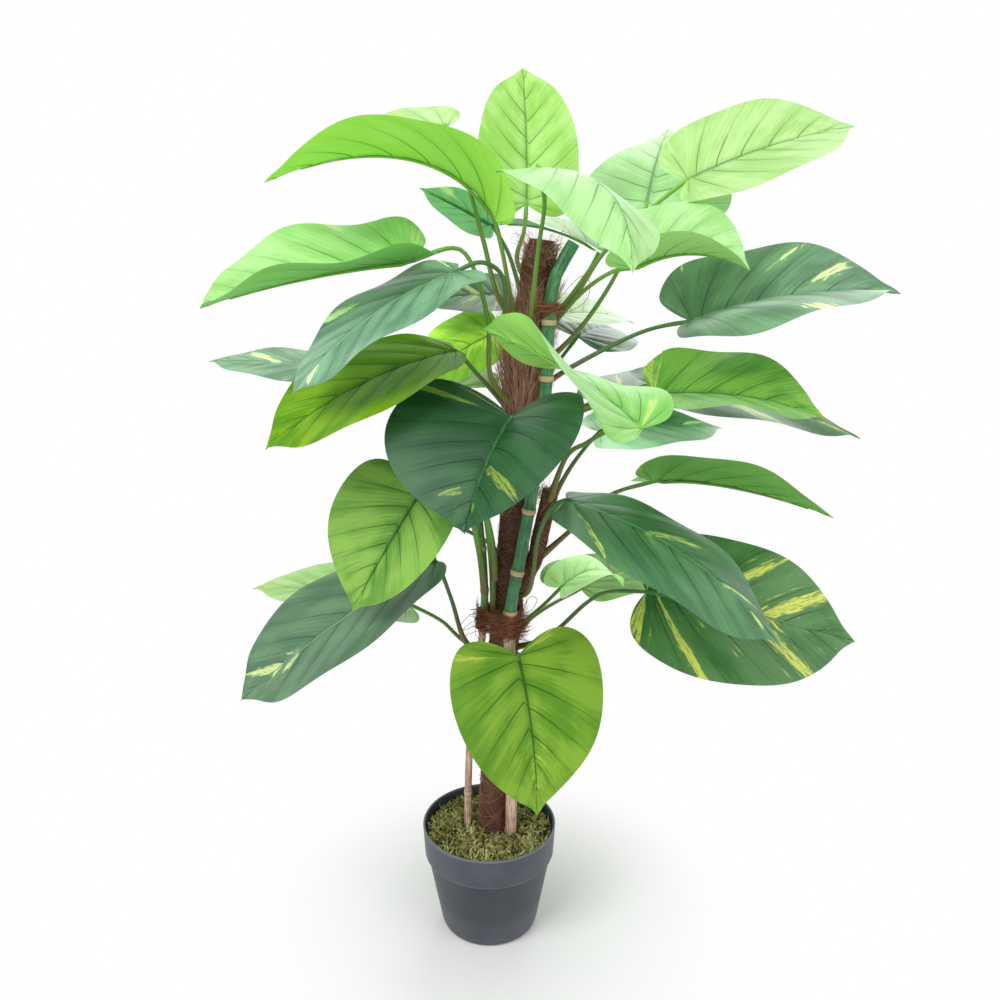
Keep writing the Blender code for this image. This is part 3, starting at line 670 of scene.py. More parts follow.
@dataclass(frozen=True)
class StalkFinish(Finish):
    """A leaf stalk: brown where it leaves the stem, then green with fine lines, and paler under the blade."""

    kind: LeafKind

    def title(self) -> str:
        """The material's name: one for each type of leaf."""
        return f"stalk_{self.kind.value}"

    def write(self, recipe: Recipe) -> bpy.types.Material:
        """Write the nodes."""
        colours = LEAF_COLOURS[self.kind]
        turn, along, _ = recipe.parts(recipe.skin_place())
        here = recipe.here()
        cloud = recipe.noise(here, 60, 3)
        line = recipe.noise(recipe.vector(turn * 14, along * 2.5, 0.0), 1.6, 3)
        foot = (along + cloud.swing(0.2)).fall(0.02, 0.34)
        shaded = tuple(0.62 * part for part in colours.stalk)
        colour = recipe.mix(line.rise(0.3, 0.75), colours.stalk, shaded)
        colour = recipe.mix(foot * 0.75, colour, srgb(124, 98, 58))
        colour = recipe.mix((cloud + foot * 0.15).rise(0.62, 0.74) * 0.5, colour, srgb(128, 108, 70))
        colour = recipe.mix(along.rise(0.36, 0.62) * 0.75, colour, colours.under)
        return recipe.finish(colour, 0.48 + cloud.swing(0.2), line, 0.0003)


@dataclass(frozen=True)
class PotFinish(Finish):
    """Dark slate plastic with a fine grain, a painted highlight patchy with scuffs along its lip and its
    collar's lower edge, a dusty foot and painted shade on the inner wall above the filling.

    Attributes:
        rim: Height of the pot's lip.
        collar: Height of the lower edge of its collar.
    """

    rim: float
    collar: float

    def write(self, recipe: Recipe) -> bpy.types.Material:
        """Write the nodes."""
        here = recipe.here()
        x, y, z = recipe.parts(here)
        cloud = recipe.noise(here, 22, 4)
        grain = recipe.noise(here, 1400, 2)
        scuff = recipe.noise(recipe.stretched(here, (60, 60, 420)), 1.0, 4)
        # Painted highlight: masks of the rounded lip and of the collar's lower edge, where light catches
        # them.
        lip = abs(z - (self.rim - 0.001)).fall(0.0008, 0.0026)
        edge = lip.most(abs(z - self.collar).fall(0.0006, 0.0018))
        # Painted shade: the inner wall above the filling, darker where shade falls inside the pot.
        inside = recipe.math("SQRT", x * x + y * y).fall(0.0925, 0.0955) * z.rise(0.03, 0.06)
        colour = recipe.mix(cloud.rise(0.3, 0.75), srgb(66, 70, 80), srgb(80, 84, 94))
        # Painted highlight along the lip and the collar's lower edge, patchy with the scuff noise.
        colour = recipe.mix(edge * (scuff * 0.6 + 0.25), colour, srgb(128, 132, 140))
        colour = recipe.mix(scuff.rise(0.60, 0.78) * 0.18, colour, srgb(118, 118, 116))
        colour = recipe.mix(z.fall(0.002, 0.022) * (cloud * 0.5), colour, srgb(112, 108, 100))
        # Painted shade on the inner wall.
        colour = recipe.mix(inside * 0.55, colour, srgb(38, 40, 46))
        matt = 0.46 + cloud.swing(0.16) + scuff.rise(0.55, 0.8) * 0.12
        return recipe.finish(colour, matt, grain * 0.7 + scuff * 0.3, 0.0002)


@dataclass(frozen=True)
class MossFinish(Finish):
    """Dried moss: olive strands that turn yellow at their tips, over a bed darkened with painted shade.

    Attributes:
        name: The material's name.
        bed: True for the mound under the strands.
    """

    name: str
    bed: bool

    def write(self, recipe: Recipe) -> bpy.types.Material:
        """Write the nodes."""
        here = recipe.here()
        cloud = recipe.noise(here, 55, 4)
        fine = recipe.noise(here, 500, 4)
        tone = fine if self.bed else recipe.value("tone")
        share = (tone * 0.9 + cloud * 0.3).rise(0.15, 0.95)
        colour = recipe.mix(share, srgb(66, 68, 34), srgb(190, 190, 118))
        colour = recipe.mix((tone + cloud.swing(0.4)).rise(0.72, 1.0) * 0.8, colour, srgb(228, 222, 168))
        colour = recipe.mix(recipe.noise(here, 32, 3).rise(0.5, 0.68) * 0.45, colour, srgb(146, 112, 66))
        # Painted shade: the bed, which shows between the strands, is darkened as if in their shade.
        if self.bed:
            colour = recipe.mix(0.78, colour, srgb(36, 34, 16))
        return recipe.finish(colour, 0.9, fine, 0.002 if self.bed else 0.0003, 0.2)


@dataclass(frozen=True)
class MixFinish(Finish):
    """Moist potting mix: dark crumbs, with bits of bark and pale grit."""

    def write(self, recipe: Recipe) -> bpy.types.Material:
        """Write the nodes."""
        here = recipe.here()
        crumb = recipe.cells(here, 260)
        pick, _, _ = recipe.parts(recipe.cells(here, 420, "Color"))
        cloud = recipe.noise(here, 90, 4)
        colour = recipe.mix(cloud.rise(0.3, 0.7), srgb(38, 30, 22), srgb(72, 56, 40))
        colour = recipe.mix((pick > 0.90) * 0.8, colour, srgb(128, 96, 62))
        colour = recipe.mix((pick > 0.975) * 0.9, colour, srgb(206, 202, 192))
        return recipe.finish(colour, 0.92, crumb * 0.7 + cloud * 0.5, 0.002, 0.2)


@dataclass(frozen=True)
class CoirFinish(TwoTone):
    """Coconut fibre, from its darker to its paler colour by the mesh's tone."""

    def write(self, recipe: Recipe) -> bpy.types.Material:
        """Write the nodes."""
        here = recipe.here()
        cloud = recipe.noise(here, 45, 4)
        hairs = recipe.noise(recipe.stretched(here, (900, 900, 220)), 1.0, 4, 0.65)
        share = (recipe.value("tone") + cloud.swing(0.7) + hairs.swing(0.6)).rise(0.0, 1.0)
        return recipe.finish(recipe.mix(share, self.low, self.high), 0.86, hairs, 0.0008, 0.25)


@dataclass(frozen=True)
class CaneFinish(TwoTone):
    """A glossy cane between two greens, with tan leaf scars and a dry tan foot.

    The mesh's "scar" is 1 on a leaf scar, and its "dry" is 1 on the dry foot.
    """

    def write(self, recipe: Recipe) -> bpy.types.Material:
        """Write the nodes."""
        here = recipe.here()
        cloud = recipe.noise(here, 70, 4)
        line = recipe.noise(recipe.stretched(here, (520, 520, 26)), 1.0, 3)
        scar = recipe.value("scar")
        green = recipe.mix((cloud * 0.6 + line * 0.5).rise(0.3, 0.8), self.low, self.high)
        dried = (line + cloud.swing(0.6)).rise(0.3, 0.72)
        tan = recipe.mix(dried, srgb(172, 132, 110), srgb(238, 208, 186))
        bark = (recipe.value("dry") + cloud.swing(0.5)).rise(0.35, 0.65)
        colour = recipe.mix(bark, green, tan)
        ring = (scar + cloud.swing(0.5)).rise(0.35, 0.7) * (1 - bark * 0.75)
        colour = recipe.mix(ring, colour, srgb(206, 182, 136))
        colour = recipe.mix(scar.rise(0.1, 0.3) * scar.fall(0.3, 0.6) * 0.6, colour, srgb(70, 62, 40))
        matt = 0.26 + bark * 0.42 + scar * 0.3 + cloud.swing(0.12)
        return recipe.finish(colour, matt, line, 0.0005)


@dataclass(frozen=True)
class StakeFinish(Finish):
    """The plain plastic stake inside the coir."""

    def write(self, recipe: Recipe) -> bpy.types.Material:
        """Write the nodes."""
        cloud = recipe.noise(recipe.here(), 80, 3)
        colour = recipe.mix(cloud, srgb(48, 52, 48), srgb(66, 70, 64))
        return recipe.finish(colour, 0.55 + cloud * 0.1, cloud, 0.0003)


# -------------------- Leaves --------------------

LIGHT, OLIVE, DARK = LeafKind.LIGHT, LeafKind.OLIVE, LeafKind.DARK


@dataclass(frozen=True)
class Streak:
    """A stretch of variegation on one half of a blade.

    Attributes:
        across: Signed place from the left margin (-1) over the midrib to the right margin (1).
        along: Place from the base (0) to the tip (1), by the margin's turn.
        reach: Half size across.
        spread: Half size along.
        weight: How strongly it shows.
    """

    across: float
    along: float
    reach: float = 0.35
    spread: float = 0.10
    weight: float = 1.0


@dataclass(frozen=True)
class Leaf:
    """One leaf: where its blade starts and ends, how it is shaped, and its stalk.

    Places, heights and widths are in millimetres.

    Attributes:
        name: The solid that it replaces.
        kind: Its colour type.
        base: Start of the midrib.
        tip: End of the midrib.
        width: Width across its widest place, measured along the surface.
        leaves_at: Height at which its stalk leaves the stem.
        via: Places that the stalk passes.
        carrier: The stem that carries it.
        roll: Turn of the blade about its midrib, in degrees.
        fold: Lift of its left and right halves, in degrees.
        cup: Bend of each half along its width, in degrees.
        arch: How far the midrib bows up, as a share of its length.
        peak: Where along the midrib it bows most.
        sweep: How far the midrib bows sideways.
        twist: Turn of the blade from base to tip, in degrees.
        lobe: How far the lobes swing behind the base.
        wave: Height of the margin's ripple, as a share of the length.
        blunt: How full the blade stays towards its tip.
        fullness: How far its widest place lies towards the base.
    """

    name: str
    kind: LeafKind
    base: Place
    tip: Place
    width: float
    leaves_at: float
    via: tuple[Place, ...] = ()
    carrier: str = "pole"
    roll: float = 0
    fold: tuple[float, float] = (8, 8)
    cup: tuple[float, float] = (0, 0)
    arch: float = 0.05
    peak: float = 0.5
    sweep: float = 0.0
    twist: float = 0.0
    lobe: float = 0.10
    wave: float = 0.012
    blunt: float = 8.0
    fullness: float = 0.12


LEAVES: tuple[Leaf, ...] = (
    Leaf("leaf_crown", LIGHT, (50, 58, 1045), (45, 85, 1210), 134, 935, ((38, 35, 975), (47, 50, 1012)),
         fold=(10, 10), blunt=16),
    Leaf("leaf_top_left_long", LIGHT, (10, -30, 1025), (-250, -100, 1070), 168, 885,
         ((35, -30, 910), (20, -35, 985)), roll=5, fold=(23, 23), arch=0.20, peak=0.42, lobe=0.04, blunt=12,
         fullness=0.0),
    Leaf("leaf_top_left_behind", LIGHT, (-52, 85, 1140), (-195, 105, 1115), 125, 885,
         ((15, 5, 930), (-5, 30, 1000), (-28, 60, 1080)), roll=-24, fold=(5, 5), arch=0.06),
    Leaf("leaf_top_left_small", DARK, (5, 105, 1018), (-90, 90, 1065), 85, 885,
         ((45, 40, 925), (28, 80, 980)), roll=33, fold=(0, 0), arch=0.02, blunt=6),
    Leaf("leaf_top_centre_back", LIGHT, (150, 105, 985), (5, 175, 1015), 120, 865,
         ((90, 45, 905), (135, 85, 960)), fold=(10, 10), arch=0.08),
    Leaf("leaf_top_front", LIGHT, (58, -82, 1086), (150, -250, 980), 155, 865,
         ((54, -42, 915), (62, -52, 995), (68, -68, 1050)), fold=(-40, 5), arch=0.15, sweep=-0.10, twist=25,
         lobe=0.09, fullness=0.10),
    Leaf("leaf_top_right_low", LIGHT, (180, -20, 970), (315, -60, 970), 165, 850,
         ((85, 0, 900), (120, -5, 940), (155, -15, 965)), roll=10, fold=(40, 30), arch=0.14),
    Leaf("leaf_top_right_back", LIGHT, (210, 105, 1040), (265, 290, 1150), 220, 825,
         ((110, 20, 880), (155, 50, 935), (190, 85, 995)), fold=(-12, -12), arch=0.06, blunt=4),
    Leaf("leaf_top_right_high", LIGHT, (255, 55, 1075), (470, 80, 1140), 168, 875,
         ((110, 20, 930), (150, 45, 985), (205, 56, 1035)), roll=34, fold=(12, 12), blunt=7, fullness=-0.05),
    Leaf("leaf_left_high", LIGHT, (-90, -50, 980), (-335, -100, 930), 175, 785,
         ((5, -34, 835), (0, -40, 915), (-30, -40, 992)), roll=-12, fold=(27, 27), arch=0.03, wave=0.028,
         blunt=16, fullness=0.0),
    Leaf("leaf_left_striped", DARK, (-35, -70, 970), (-220, -160, 840), 150, 860,
         ((25, -38, 900), (20, -55, 960), (-5, -70, 980)), roll=-8, fold=(0, 0), arch=0.08, lobe=0.08,
         wave=0.020, blunt=18),
    Leaf("leaf_left_olive", OLIVE, (-40, -30, 870), (-265, -120, 765), 180, 770, ((-10, -20, 835),),
         roll=-24, fold=(15, -4), arch=0.08, lobe=0.03, blunt=11, fullness=-0.15),
    Leaf("leaf_left_far", DARK, (-210, 50, 835), (-370, 40, 845), 140, 755,
         ((-20, 20, 795), (-110, 45, 830)), roll=-8, fold=(0, 0), arch=0.02),
    Leaf("leaf_right_dark", DARK, (255, -20, 905), (510, -30, 940), 200, 800,
         ((110, 0, 845), (195, -10, 890)), fold=(38, 12), cup=(0, -45), arch=0.06, wave=0.018, blunt=11),
    Leaf("leaf_right_olive", OLIVE, (215, 0, 810), (425, -50, 785), 190, 745, ((95, 0, 775), (160, 0, 800)),
         roll=14, fold=(15, 15), arch=0.07, peak=0.55, wave=0.022, blunt=13),
    Leaf("leaf_front_bright", LIGHT, (170, -225, 815), (-5, -100, 905), 168, 655,
         ((100, -45, 735), (120, -110, 770), (140, -175, 800)), carrier="right_branch", roll=-12,
         fold=(12, 4), arch=0.06, twist=70, lobe=0.055, wave=0.020, blunt=18, fullness=0.40),
    Leaf("leaf_right_slim", OLIVE, (220, 0, 690), (455, -30, 650), 160, 575, ((115, 0, 625), (160, 0, 670)),
         carrier="right_branch", roll=-24, fold=(16, 16), arch=0.06, peak=0.42, blunt=5),
    Leaf("leaf_right_drooping", DARK, (100, -80, 690), (355, -180, 535), 180, 525,
         ((55, -35, 550), (65, -60, 630), (80, -75, 675)), roll=12, fold=(-12, -2), arch=0.10, lobe=0.05,
         blunt=9, fullness=-0.10),
    Leaf("leaf_right_marbled", DARK, (215, -20, 540), (495, -50, 480), 210, 445,
         ((80, -5, 465), (135, -10, 520), (165, -18, 540)), roll=45, fold=(0, 0), arch=0.04, lobe=0.07,
         blunt=9, fullness=0.05),
    Leaf("leaf_right_small", LIGHT, (105, 60, 515), (200, 100, 500), 100, 465, ((70, 35, 490),),
         fold=(10, 10), arch=0.25),
    Leaf("leaf_right_back_short", DARK, (155, 80, 740), (330, 100, 740), 180, 650, ((115, 35, 705),),
         carrier="right_branch", roll=5, fold=(0, 0), blunt=10),
    Leaf("leaf_right_back_long", DARK, (225, 90, 805), (520, 80, 730), 150, 735, ((110, 45, 775),), roll=13,
         fold=(0, 0)),
    Leaf("leaf_front_dark", DARK, (30, -100, 800), (-25, -200, 685), 260, 720,
         ((20, -35, 745), (28, -75, 785)), fold=(36, 24), cup=(-30, 0), arch=0.08, blunt=10, fullness=0.05),
    Leaf("leaf_front_left_olive", OLIVE, (-85, -70, 695), (-170, -120, 555), 180, 640,
         ((-5, -30, 670), (-35, -55, 695)), roll=-50, fold=(42, 5), arch=0.06, blunt=6),
    Leaf("leaf_low_left_dark", DARK, (-70, -20, 585), (-320, -120, 430), 180, 435,
         ((-35, -22, 475), (-50, -22, 530)), carrier="left_cane", roll=-15, fold=(12, 5), arch=0.04,
         lobe=0.04, blunt=16, fullness=-0.20),
    Leaf("leaf_low_left_light", LIGHT, (-120, 60, 490), (-340, 55, 515), 140, 415,
         ((-40, 35, 445), (-70, 45, 470)), roll=-10, fold=(6, 6), arch=0.04),
    Leaf("leaf_front_heart", OLIVE, (40, -80, 475), (65, -140, 270), 215, 437,
         ((54, -34, 452), (56, -62, 462)), fold=(8, 8), arch=0.08, lobe=0.115, blunt=5),
    Leaf("leaf_inner_left_olive", OLIVE, (10, 105, 875), (-105, 85, 800), 165, 800, ((25, 45, 840),),
         roll=-20, fold=(5, 5)),
    Leaf("leaf_inner_left_dark", DARK, (20, 150, 920), (-90, 150, 910), 130, 845, ((40, 70, 895),), roll=-20,
         fold=(5, 5)),
    Leaf("leaf_inner_right_light", LIGHT, (95, 95, 900), (205, 185, 880), 130, 830, ((75, 50, 870),),
         roll=15, fold=(8, 8)),
    Leaf("leaf_inner_right_dark", DARK, (125, 130, 865), (190, 260, 860), 140, 765, ((75, 50, 815),),
         roll=22, fold=(5, 5)),
    Leaf("leaf_back_middle", DARK, (-15, 130, 710), (-70, 380, 680), 190, 660,
         ((25, 45, 690), (10, 85, 712)), fold=(5, 5), arch=0.08),
    Leaf("leaf_back_low", OLIVE, (55, 120, 305), (60, 320, 230), 155, 255, ((35, 55, 290),), fold=(5, 5),
         arch=0.08),
    Leaf("leaf_back_left_high", OLIVE, (-45, 145, 790), (-205, 310, 770), 180, 715, ((5, 55, 765),),
         fold=(5, 5), arch=0.08),
    Leaf("leaf_back_right_middle", DARK, (185, 160, 770), (375, 320, 755), 170, 700, ((80, 55, 750),),
         fold=(5, 5), arch=0.08),
    Leaf("leaf_back_right_low", OLIVE, (140, 140, 480), (300, 320, 430), 180, 430, ((60, 50, 470),),
         fold=(5, 5), arch=0.08),
    Leaf("leaf_back_left_low", DARK, (-70, 100, 605), (-195, 280, 560), 180, 540, ((5, 40, 585),),
         fold=(5, 5), arch=0.08),
)


@dataclass(frozen=True)
class Marks:
    """The marks of one leaf's own on its type's colours.

    Attributes:
        streaks: Its variegation.
        marbling: Variegation all over, from 0 to 1.
        tone: Brightness of its colours, partly the leaf's own and partly painted light, which brightens
            leaves that lie in shade.
        vivid: Strength of its colours; lowered with a raised tone, it paints a grey sheen on some leaves.
        hue: Turn of its colours: 0.5 is none, and more is bluer.
        pale: How far painted light, as if shining through the blade, brightens the underside, from 0 to 1.
    """

    streaks: tuple[Streak, ...] = ()
    marbling: float = 0.0
    tone: float = 1.0
    vivid: float = 1.0
    hue: float = 0.5
    pale: float = 0.0


# Leaf by leaf, a large tone paints light on a leaf that lies in shade, a low vivid with a raised tone paints
# a grey sheen, and pale paints light shining through the underside; the rest is the leaf's own colour.
MARKS: dict[str, Marks] = {
    "leaf_crown": Marks(marbling=0.2),
    "leaf_top_left_long": Marks(tone=1.35, hue=0.492),
    "leaf_top_left_behind": Marks((Streak(0.6, 0.3, 0.4, 0.15, 0.5),), tone=1.08, vivid=0.85),
    "leaf_top_left_small": Marks(
        (Streak(-0.9, 0.7, 0.39, 0.037), Streak(-0.6, 0.3, 0.52, 0.019)), 0.3, 3.4, 0.84,
    ),
    "leaf_top_centre_back": Marks((Streak(0.4, 0.6, 0.65, 0.037),), tone=0.95, vivid=0.6, hue=0.53),
    "leaf_top_front": Marks(tone=1.06, vivid=0.8, hue=0.522),
    # pale paints light shining through this leaf's shaded underside.
    "leaf_top_right_low": Marks((Streak(-0.4, 0.2, 0.39, 0.031),), 0.0, 1.04, 0.8, 0.52, pale=0.9),
    "leaf_top_right_back": Marks(
        (Streak(0.7, 0.3, 0.52, 0.05), Streak(-0.7, 0.12, 0.7, 0.10, 1.2)), 0.2, 1.12, 0.75, 0.525,
    ),
    "leaf_top_right_high": Marks(
        (Streak(-0.5, 0.6, 0.5, 0.2, 0.4), Streak(-0.9, 0.25, 0.4, 0.15, 0.4)), tone=1.06, vivid=0.85,
    ),
    "leaf_left_high": Marks(
        (Streak(0.5, 0.22, 0.52, 0.037), Streak(0.9, 0.5, 0.16, 0.019), Streak(-0.5, 0.3, 0.39, 0.019, 0.8)),
        0.2, 0.96, 0.9, 0.52,
    ),
    # Painted sheen: raised tone, low vivid and a bluer hue grey this leaf.
    "leaf_left_striped": Marks(
        (Streak(0.6, 0.25, 0.39, 0.019), Streak(0.92, 0.62, 0.33, 0.019), Streak(-0.5, 0.85, 0.39, 0.019)),
        0.1, 2.15, 0.68, 0.53,
    ),
    "leaf_left_olive": Marks((Streak(0.5, 0.3, 0.52, 0.019, 0.8),), tone=0.92, vivid=1.08),
    "leaf_left_far": Marks((Streak(-0.2, 0.5, 0.52, 0.019), Streak(0.4, 0.7, 0.52, 0.019)), 0.4, 2.1, 0.7),
    # Painted sheen: raised tone and low vivid grey this leaf.
    "leaf_right_dark": Marks(
        (Streak(-0.6, 0.74, 0.39, 0.025), Streak(-0.75, 0.62, 0.33, 0.012), Streak(0.95, 0.6, 0.2, 0.031),
         Streak(-0.95, 0.35, 0.2, 0.012)),
        tone=1.75, vivid=0.70,
    ),
    "leaf_right_olive": Marks(
        (Streak(-0.3, 0.3, 0.65, 0.035, 0.8), Streak(-0.7, 0.2, 0.55, 0.08, 0.8)), 0.4, 1.3, 0.95, 0.522,
    ),
    # pale paints light shining through this leaf's shaded underside.
    "leaf_front_bright": Marks(
        (Streak(0.3, 0.34, 0.5, 0.035, 1.1), Streak(0.75, 0.72, 0.45, 0.04, 1.1),
         Streak(-0.4, 0.25, 0.33, 0.02)),
        tone=0.96, vivid=0.98, hue=0.525, pale=0.75,
    ),
    "leaf_right_slim": Marks((Streak(0.9, 0.2, 0.39, 0.05, 0.8),), 0.1, 1.25, 0.92, 0.52),
    "leaf_right_drooping": Marks(
        (Streak(0.65, 0.42, 0.45, 0.017, 1.15), Streak(-0.25, 0.66, 0.52, 0.014),
         Streak(-0.3, 0.8, 0.52, 0.012), Streak(0.35, 0.86, 0.45, 0.015), Streak(0.5, 0.18, 0.39, 0.012)),
        0.1, 1.3, 0.88,
    ),
    "leaf_right_marbled": Marks(
        (Streak(0.5, 0.14, 0.65, 0.019), Streak(0.5, 0.24, 0.65, 0.019), Streak(0.6, 0.46, 0.65, 0.012, 1.1),
         Streak(0.6, 0.17, 0.8, 0.09, 0.62), Streak(-0.3, 0.15, 0.26, 0.031, 0.8),
         Streak(-0.5, 0.75, 0.65, 0.015, 1.1), Streak(0.45, 0.72, 0.65, 0.015),
         Streak(-0.6, 0.62, 0.52, 0.012, 0.9)),
        0.5, 1.12, 1.0, 0.470,
    ),
    "leaf_right_small": Marks(tone=2.1, vivid=0.72),
    # Painted light: a leaf at the back, in shade, brightened by a large tone.
    "leaf_right_back_short": Marks((Streak(-0.3, 0.80, 0.52, 0.019),), 0.2, 5.6, 0.66),
    "leaf_right_back_long": Marks(
        (Streak(0.4, 0.6, 0.52, 0.031), Streak(0.3, 0.85, 0.52, 0.025), Streak(-0.4, 0.7, 0.39, 0.019)),
        0.5, 1.1,
    ),
    "leaf_front_dark": Marks(
        (Streak(0.85, 0.37, 0.52, 0.018, 1.4), Streak(0.45, 0.21, 0.59, 0.012, 1.1),
         Streak(-0.5, 0.72, 0.45, 0.016, 1.2), Streak(-0.2, 0.84, 0.26, 0.019),
         Streak(0.5, 0.78, 0.26, 0.019, 0.8)),
        tone=0.62, hue=0.51,
    ),
    "leaf_front_left_olive": Marks(tone=1.1, vivid=0.9, hue=0.51),
    "leaf_low_left_dark": Marks(
        (Streak(0.3, 0.84, 0.65, 0.019, 1.1), Streak(-0.2, 0.8, 0.39, 0.012), Streak(0.3, 0.12, 0.52, 0.019)),
        0.1, 1.18, 0.72,
    ),
    "leaf_low_left_light": Marks(tone=1.0, vivid=0.8),
    "leaf_front_heart": Marks(
        (Streak(0.8, 0.3, 0.39, 0.04, 0.7), Streak(-0.7, 0.16, 0.6, 0.07, 0.8),
         Streak(0.0, 0.85, 1.2, 0.2, 0.4)),
        0.1, 0.95,
    ),
    "leaf_inner_left_olive": Marks((Streak(0.0, 0.5, 0.6, 0.3, 0.4),), 0.3, 3.2, 1.0, 0.490),
    "leaf_inner_left_dark": Marks(
        (Streak(0.0, 0.4, 1.04, 0.019, 1.1), Streak(0.3, 0.65, 0.78, 0.019, 1.1)), 0.4, 0.9,
    ),
    "leaf_inner_right_light": Marks(tone=1.15, vivid=0.5),
    "leaf_inner_right_dark": Marks(tone=1.5, vivid=0.6, hue=0.53),
    "leaf_back_middle": Marks((Streak(-0.5, 0.3, 0.52, 0.019), Streak(0.5, 0.6, 0.52, 0.025)), 0.3),
    "leaf_back_left_low": Marks((Streak(0.5, 0.4, 0.52, 0.019), Streak(-0.4, 0.7, 0.52, 0.025)), 0.3),
    "leaf_back_right_middle": Marks((Streak(-0.5, 0.5, 0.52, 0.019),), 0.2),
}


def share_along(turn: Array) -> Array:
    """The place along a blade, from 0 to 1, at the margin's turn from base (0) to tip (pi)."""
    return (1 - np.cos(turn)) / 2


class Blade:
    """The blade of one leaf, as a surface on the grid (margin turn, way out from the midrib)."""

    LOBE_REACH = 3.5
    LOBE_FADE = 1.2
    VEIN_CURVE = 1.15
    WAIST = (0.22, 0.95, 0.04)
    RIPPLES = 7
    RIPPLE_PHASES = (0.2, 1.3)
    STEEPEST = 8.0
    BASE_STRETCH = 0.02
    LEAST_BEND = 1e-4
    ROWS = 89
    COLUMNS = 16
    OUTLINE_STEPS = 600
    VEINS = 9.0
    VEIN_EVENNESS = 0.55
    VEIN_LEAN = 3.6
    VEIN_LAG = 0.35
    THICKNESS = 0.0008
    QUILT = 0.0006
    VEIN_GROOVE = 0.0003
    RIB_GROOVE = 0.0010
    GROOVE_WIDTH = 0.06

    def __init__(self, leaf: Leaf) -> None:
        self.leaf = leaf
        self.width = leaf.width / MM
        self.base = np.array(leaf.base) / MM
        run = np.array(leaf.tip) / MM - self.base
        self.length = float(np.linalg.norm(run))
        self.ahead = run / self.length
        side = unit(np.cross(self.ahead, UP))
        up = np.cross(side, self.ahead)
        roll = math.radians(leaf.roll)
        self.up = up * math.cos(roll) + side * math.sin(roll)
        self.side = side * math.cos(roll) - up * math.sin(roll)

    def half_width(self, turn: Array) -> Array:
        """Half width at the margin's turn from base (0) to tip (pi), before scaling.

        A sine, kept full towards the tip by 1 minus a power of the place along, leant towards the
        base by `fullness`, with a narrow waist just before the tip that leaves a drip tip.
        """
        depth, place, length = self.WAIST
        along = share_along(turn)
        lean = 1 + self.leaf.fullness * np.cos(turn)
        return np.sin(turn) * (1 - along**self.leaf.blunt) * lean * (1 - depth * bell(along, place, length))

    def slope(self, x: Array, power: float) -> Array:
        """Slope of the midrib's bow at the shares x of its length, kept below the steepest."""
        slope = (4 - 8 * x**power) * power * x ** (power - 1)
        return np.clip(slope, -self.STEEPEST, self.STEEPEST)

    def midrib(self, x: Array) -> tuple[Array, Array, Array, Array]:
        """Places and directions (along, across, up) of the midrib at the shares x of its length.

        The place is base + length * (x ahead + lift * bow), where bow is 4 p (1 - p) for p a power
        of x that puts the most at `peak`. Behind the base the midrib runs on straight. The frame
        turns by `twist` times x.
        """
        leaf = self.leaf
        power = math.log(0.5) / math.log(leaf.peak)
        on = np.clip(x, 1e-6, 1)
        behind = self.slope(np.array(self.BASE_STRETCH), power) * np.clip(x, None, 0)
        bow = 4 * on**power * (1 - on**power) + behind
        lift = self.up * leaf.arch + self.side * leaf.sweep
        places = self.base + self.length * (self.ahead * x[..., None] + lift * bow[..., None])
        along = unit(self.ahead + lift * self.slope(on, power)[..., None])
        turn = math.radians(leaf.twist) * np.clip(x, 0, 1)[..., None]
        up = self.up * np.cos(turn) + self.side * np.sin(turn)
        across = unit(np.cross(along, up))
        return places, along, across, np.cross(across, along)

    def sheet(self) -> tuple[Array, Array, Array]:
        """The middle surface of the blade.

        A margin point lies where a side vein from the midrib meets the heart outline: the vein
        starts at a power of the place along, so that it leans towards the tip, and the margin is the
        place along less the lobe's swing. Each half is a circular bend that starts at the angle
        `fold`, plus a ripple that grows with the square of the way out.

        Returns:
            The points (rows, columns, 3), the signed way out and the turn (rows, columns).
        """
        leaf = self.leaf
        turn = np.linspace(0, math.pi, self.ROWS)
        along = share_along(turn)
        vein_start = along**self.VEIN_LEAN
        margin = along - leaf.lobe * self.LOBE_REACH * np.sin(turn) * (1 - along) ** self.LOBE_FADE
        widest = self.half_width(np.linspace(0, math.pi, self.OUTLINE_STEPS)).max()
        out = np.linspace(0, 1, self.COLUMNS + 1)
        x = vein_start[:, None] + (margin - vein_start)[:, None] * out[None, :] ** self.VEIN_CURVE
        spread = (self.half_width(turn) / widest)[:, None] * out[None, :]
        halves = []
        for side, fold, cup, phase in zip((-1, 1), leaf.fold, leaf.cup, self.RIPPLE_PHASES):
            start = math.radians(fold)
            bend = math.radians(cup) or self.LEAST_BEND
            across = self.width / 2 * (np.sin(start + bend * spread) - math.sin(start)) / bend
            lift = self.width / 2 * (math.cos(start) - np.cos(start + bend * spread)) / bend
            ripple = np.sin(turn * self.RIPPLES + phase) * np.sin(turn)
            lift = lift + leaf.wave * self.length * ripple[:, None] * out[None, :] ** 2
            places, _, sideways, upwards = self.midrib(x)
            halves.append(places + sideways * (side * across)[..., None] + upwards * lift[..., None])
        points = np.concatenate([halves[0][:, ::-1], halves[1][:, 1:]], axis=1)
        signed = np.concatenate([-out[::-1], out[1:]])
        return points, *np.broadcast_arrays(signed[None, :], turn[:, None])

    def vein_count(self, out: Array, turn: Array) -> Array:
        """How many side veins lie between the base and a place, a little more on the right half."""
        even = self.VEIN_EVENNESS * turn / math.pi
        start = (1 - self.VEIN_EVENNESS) * share_along(turn) ** self.VEIN_LEAN
        return self.VEINS * (even + start) + self.VEIN_LAG * (out > 0)

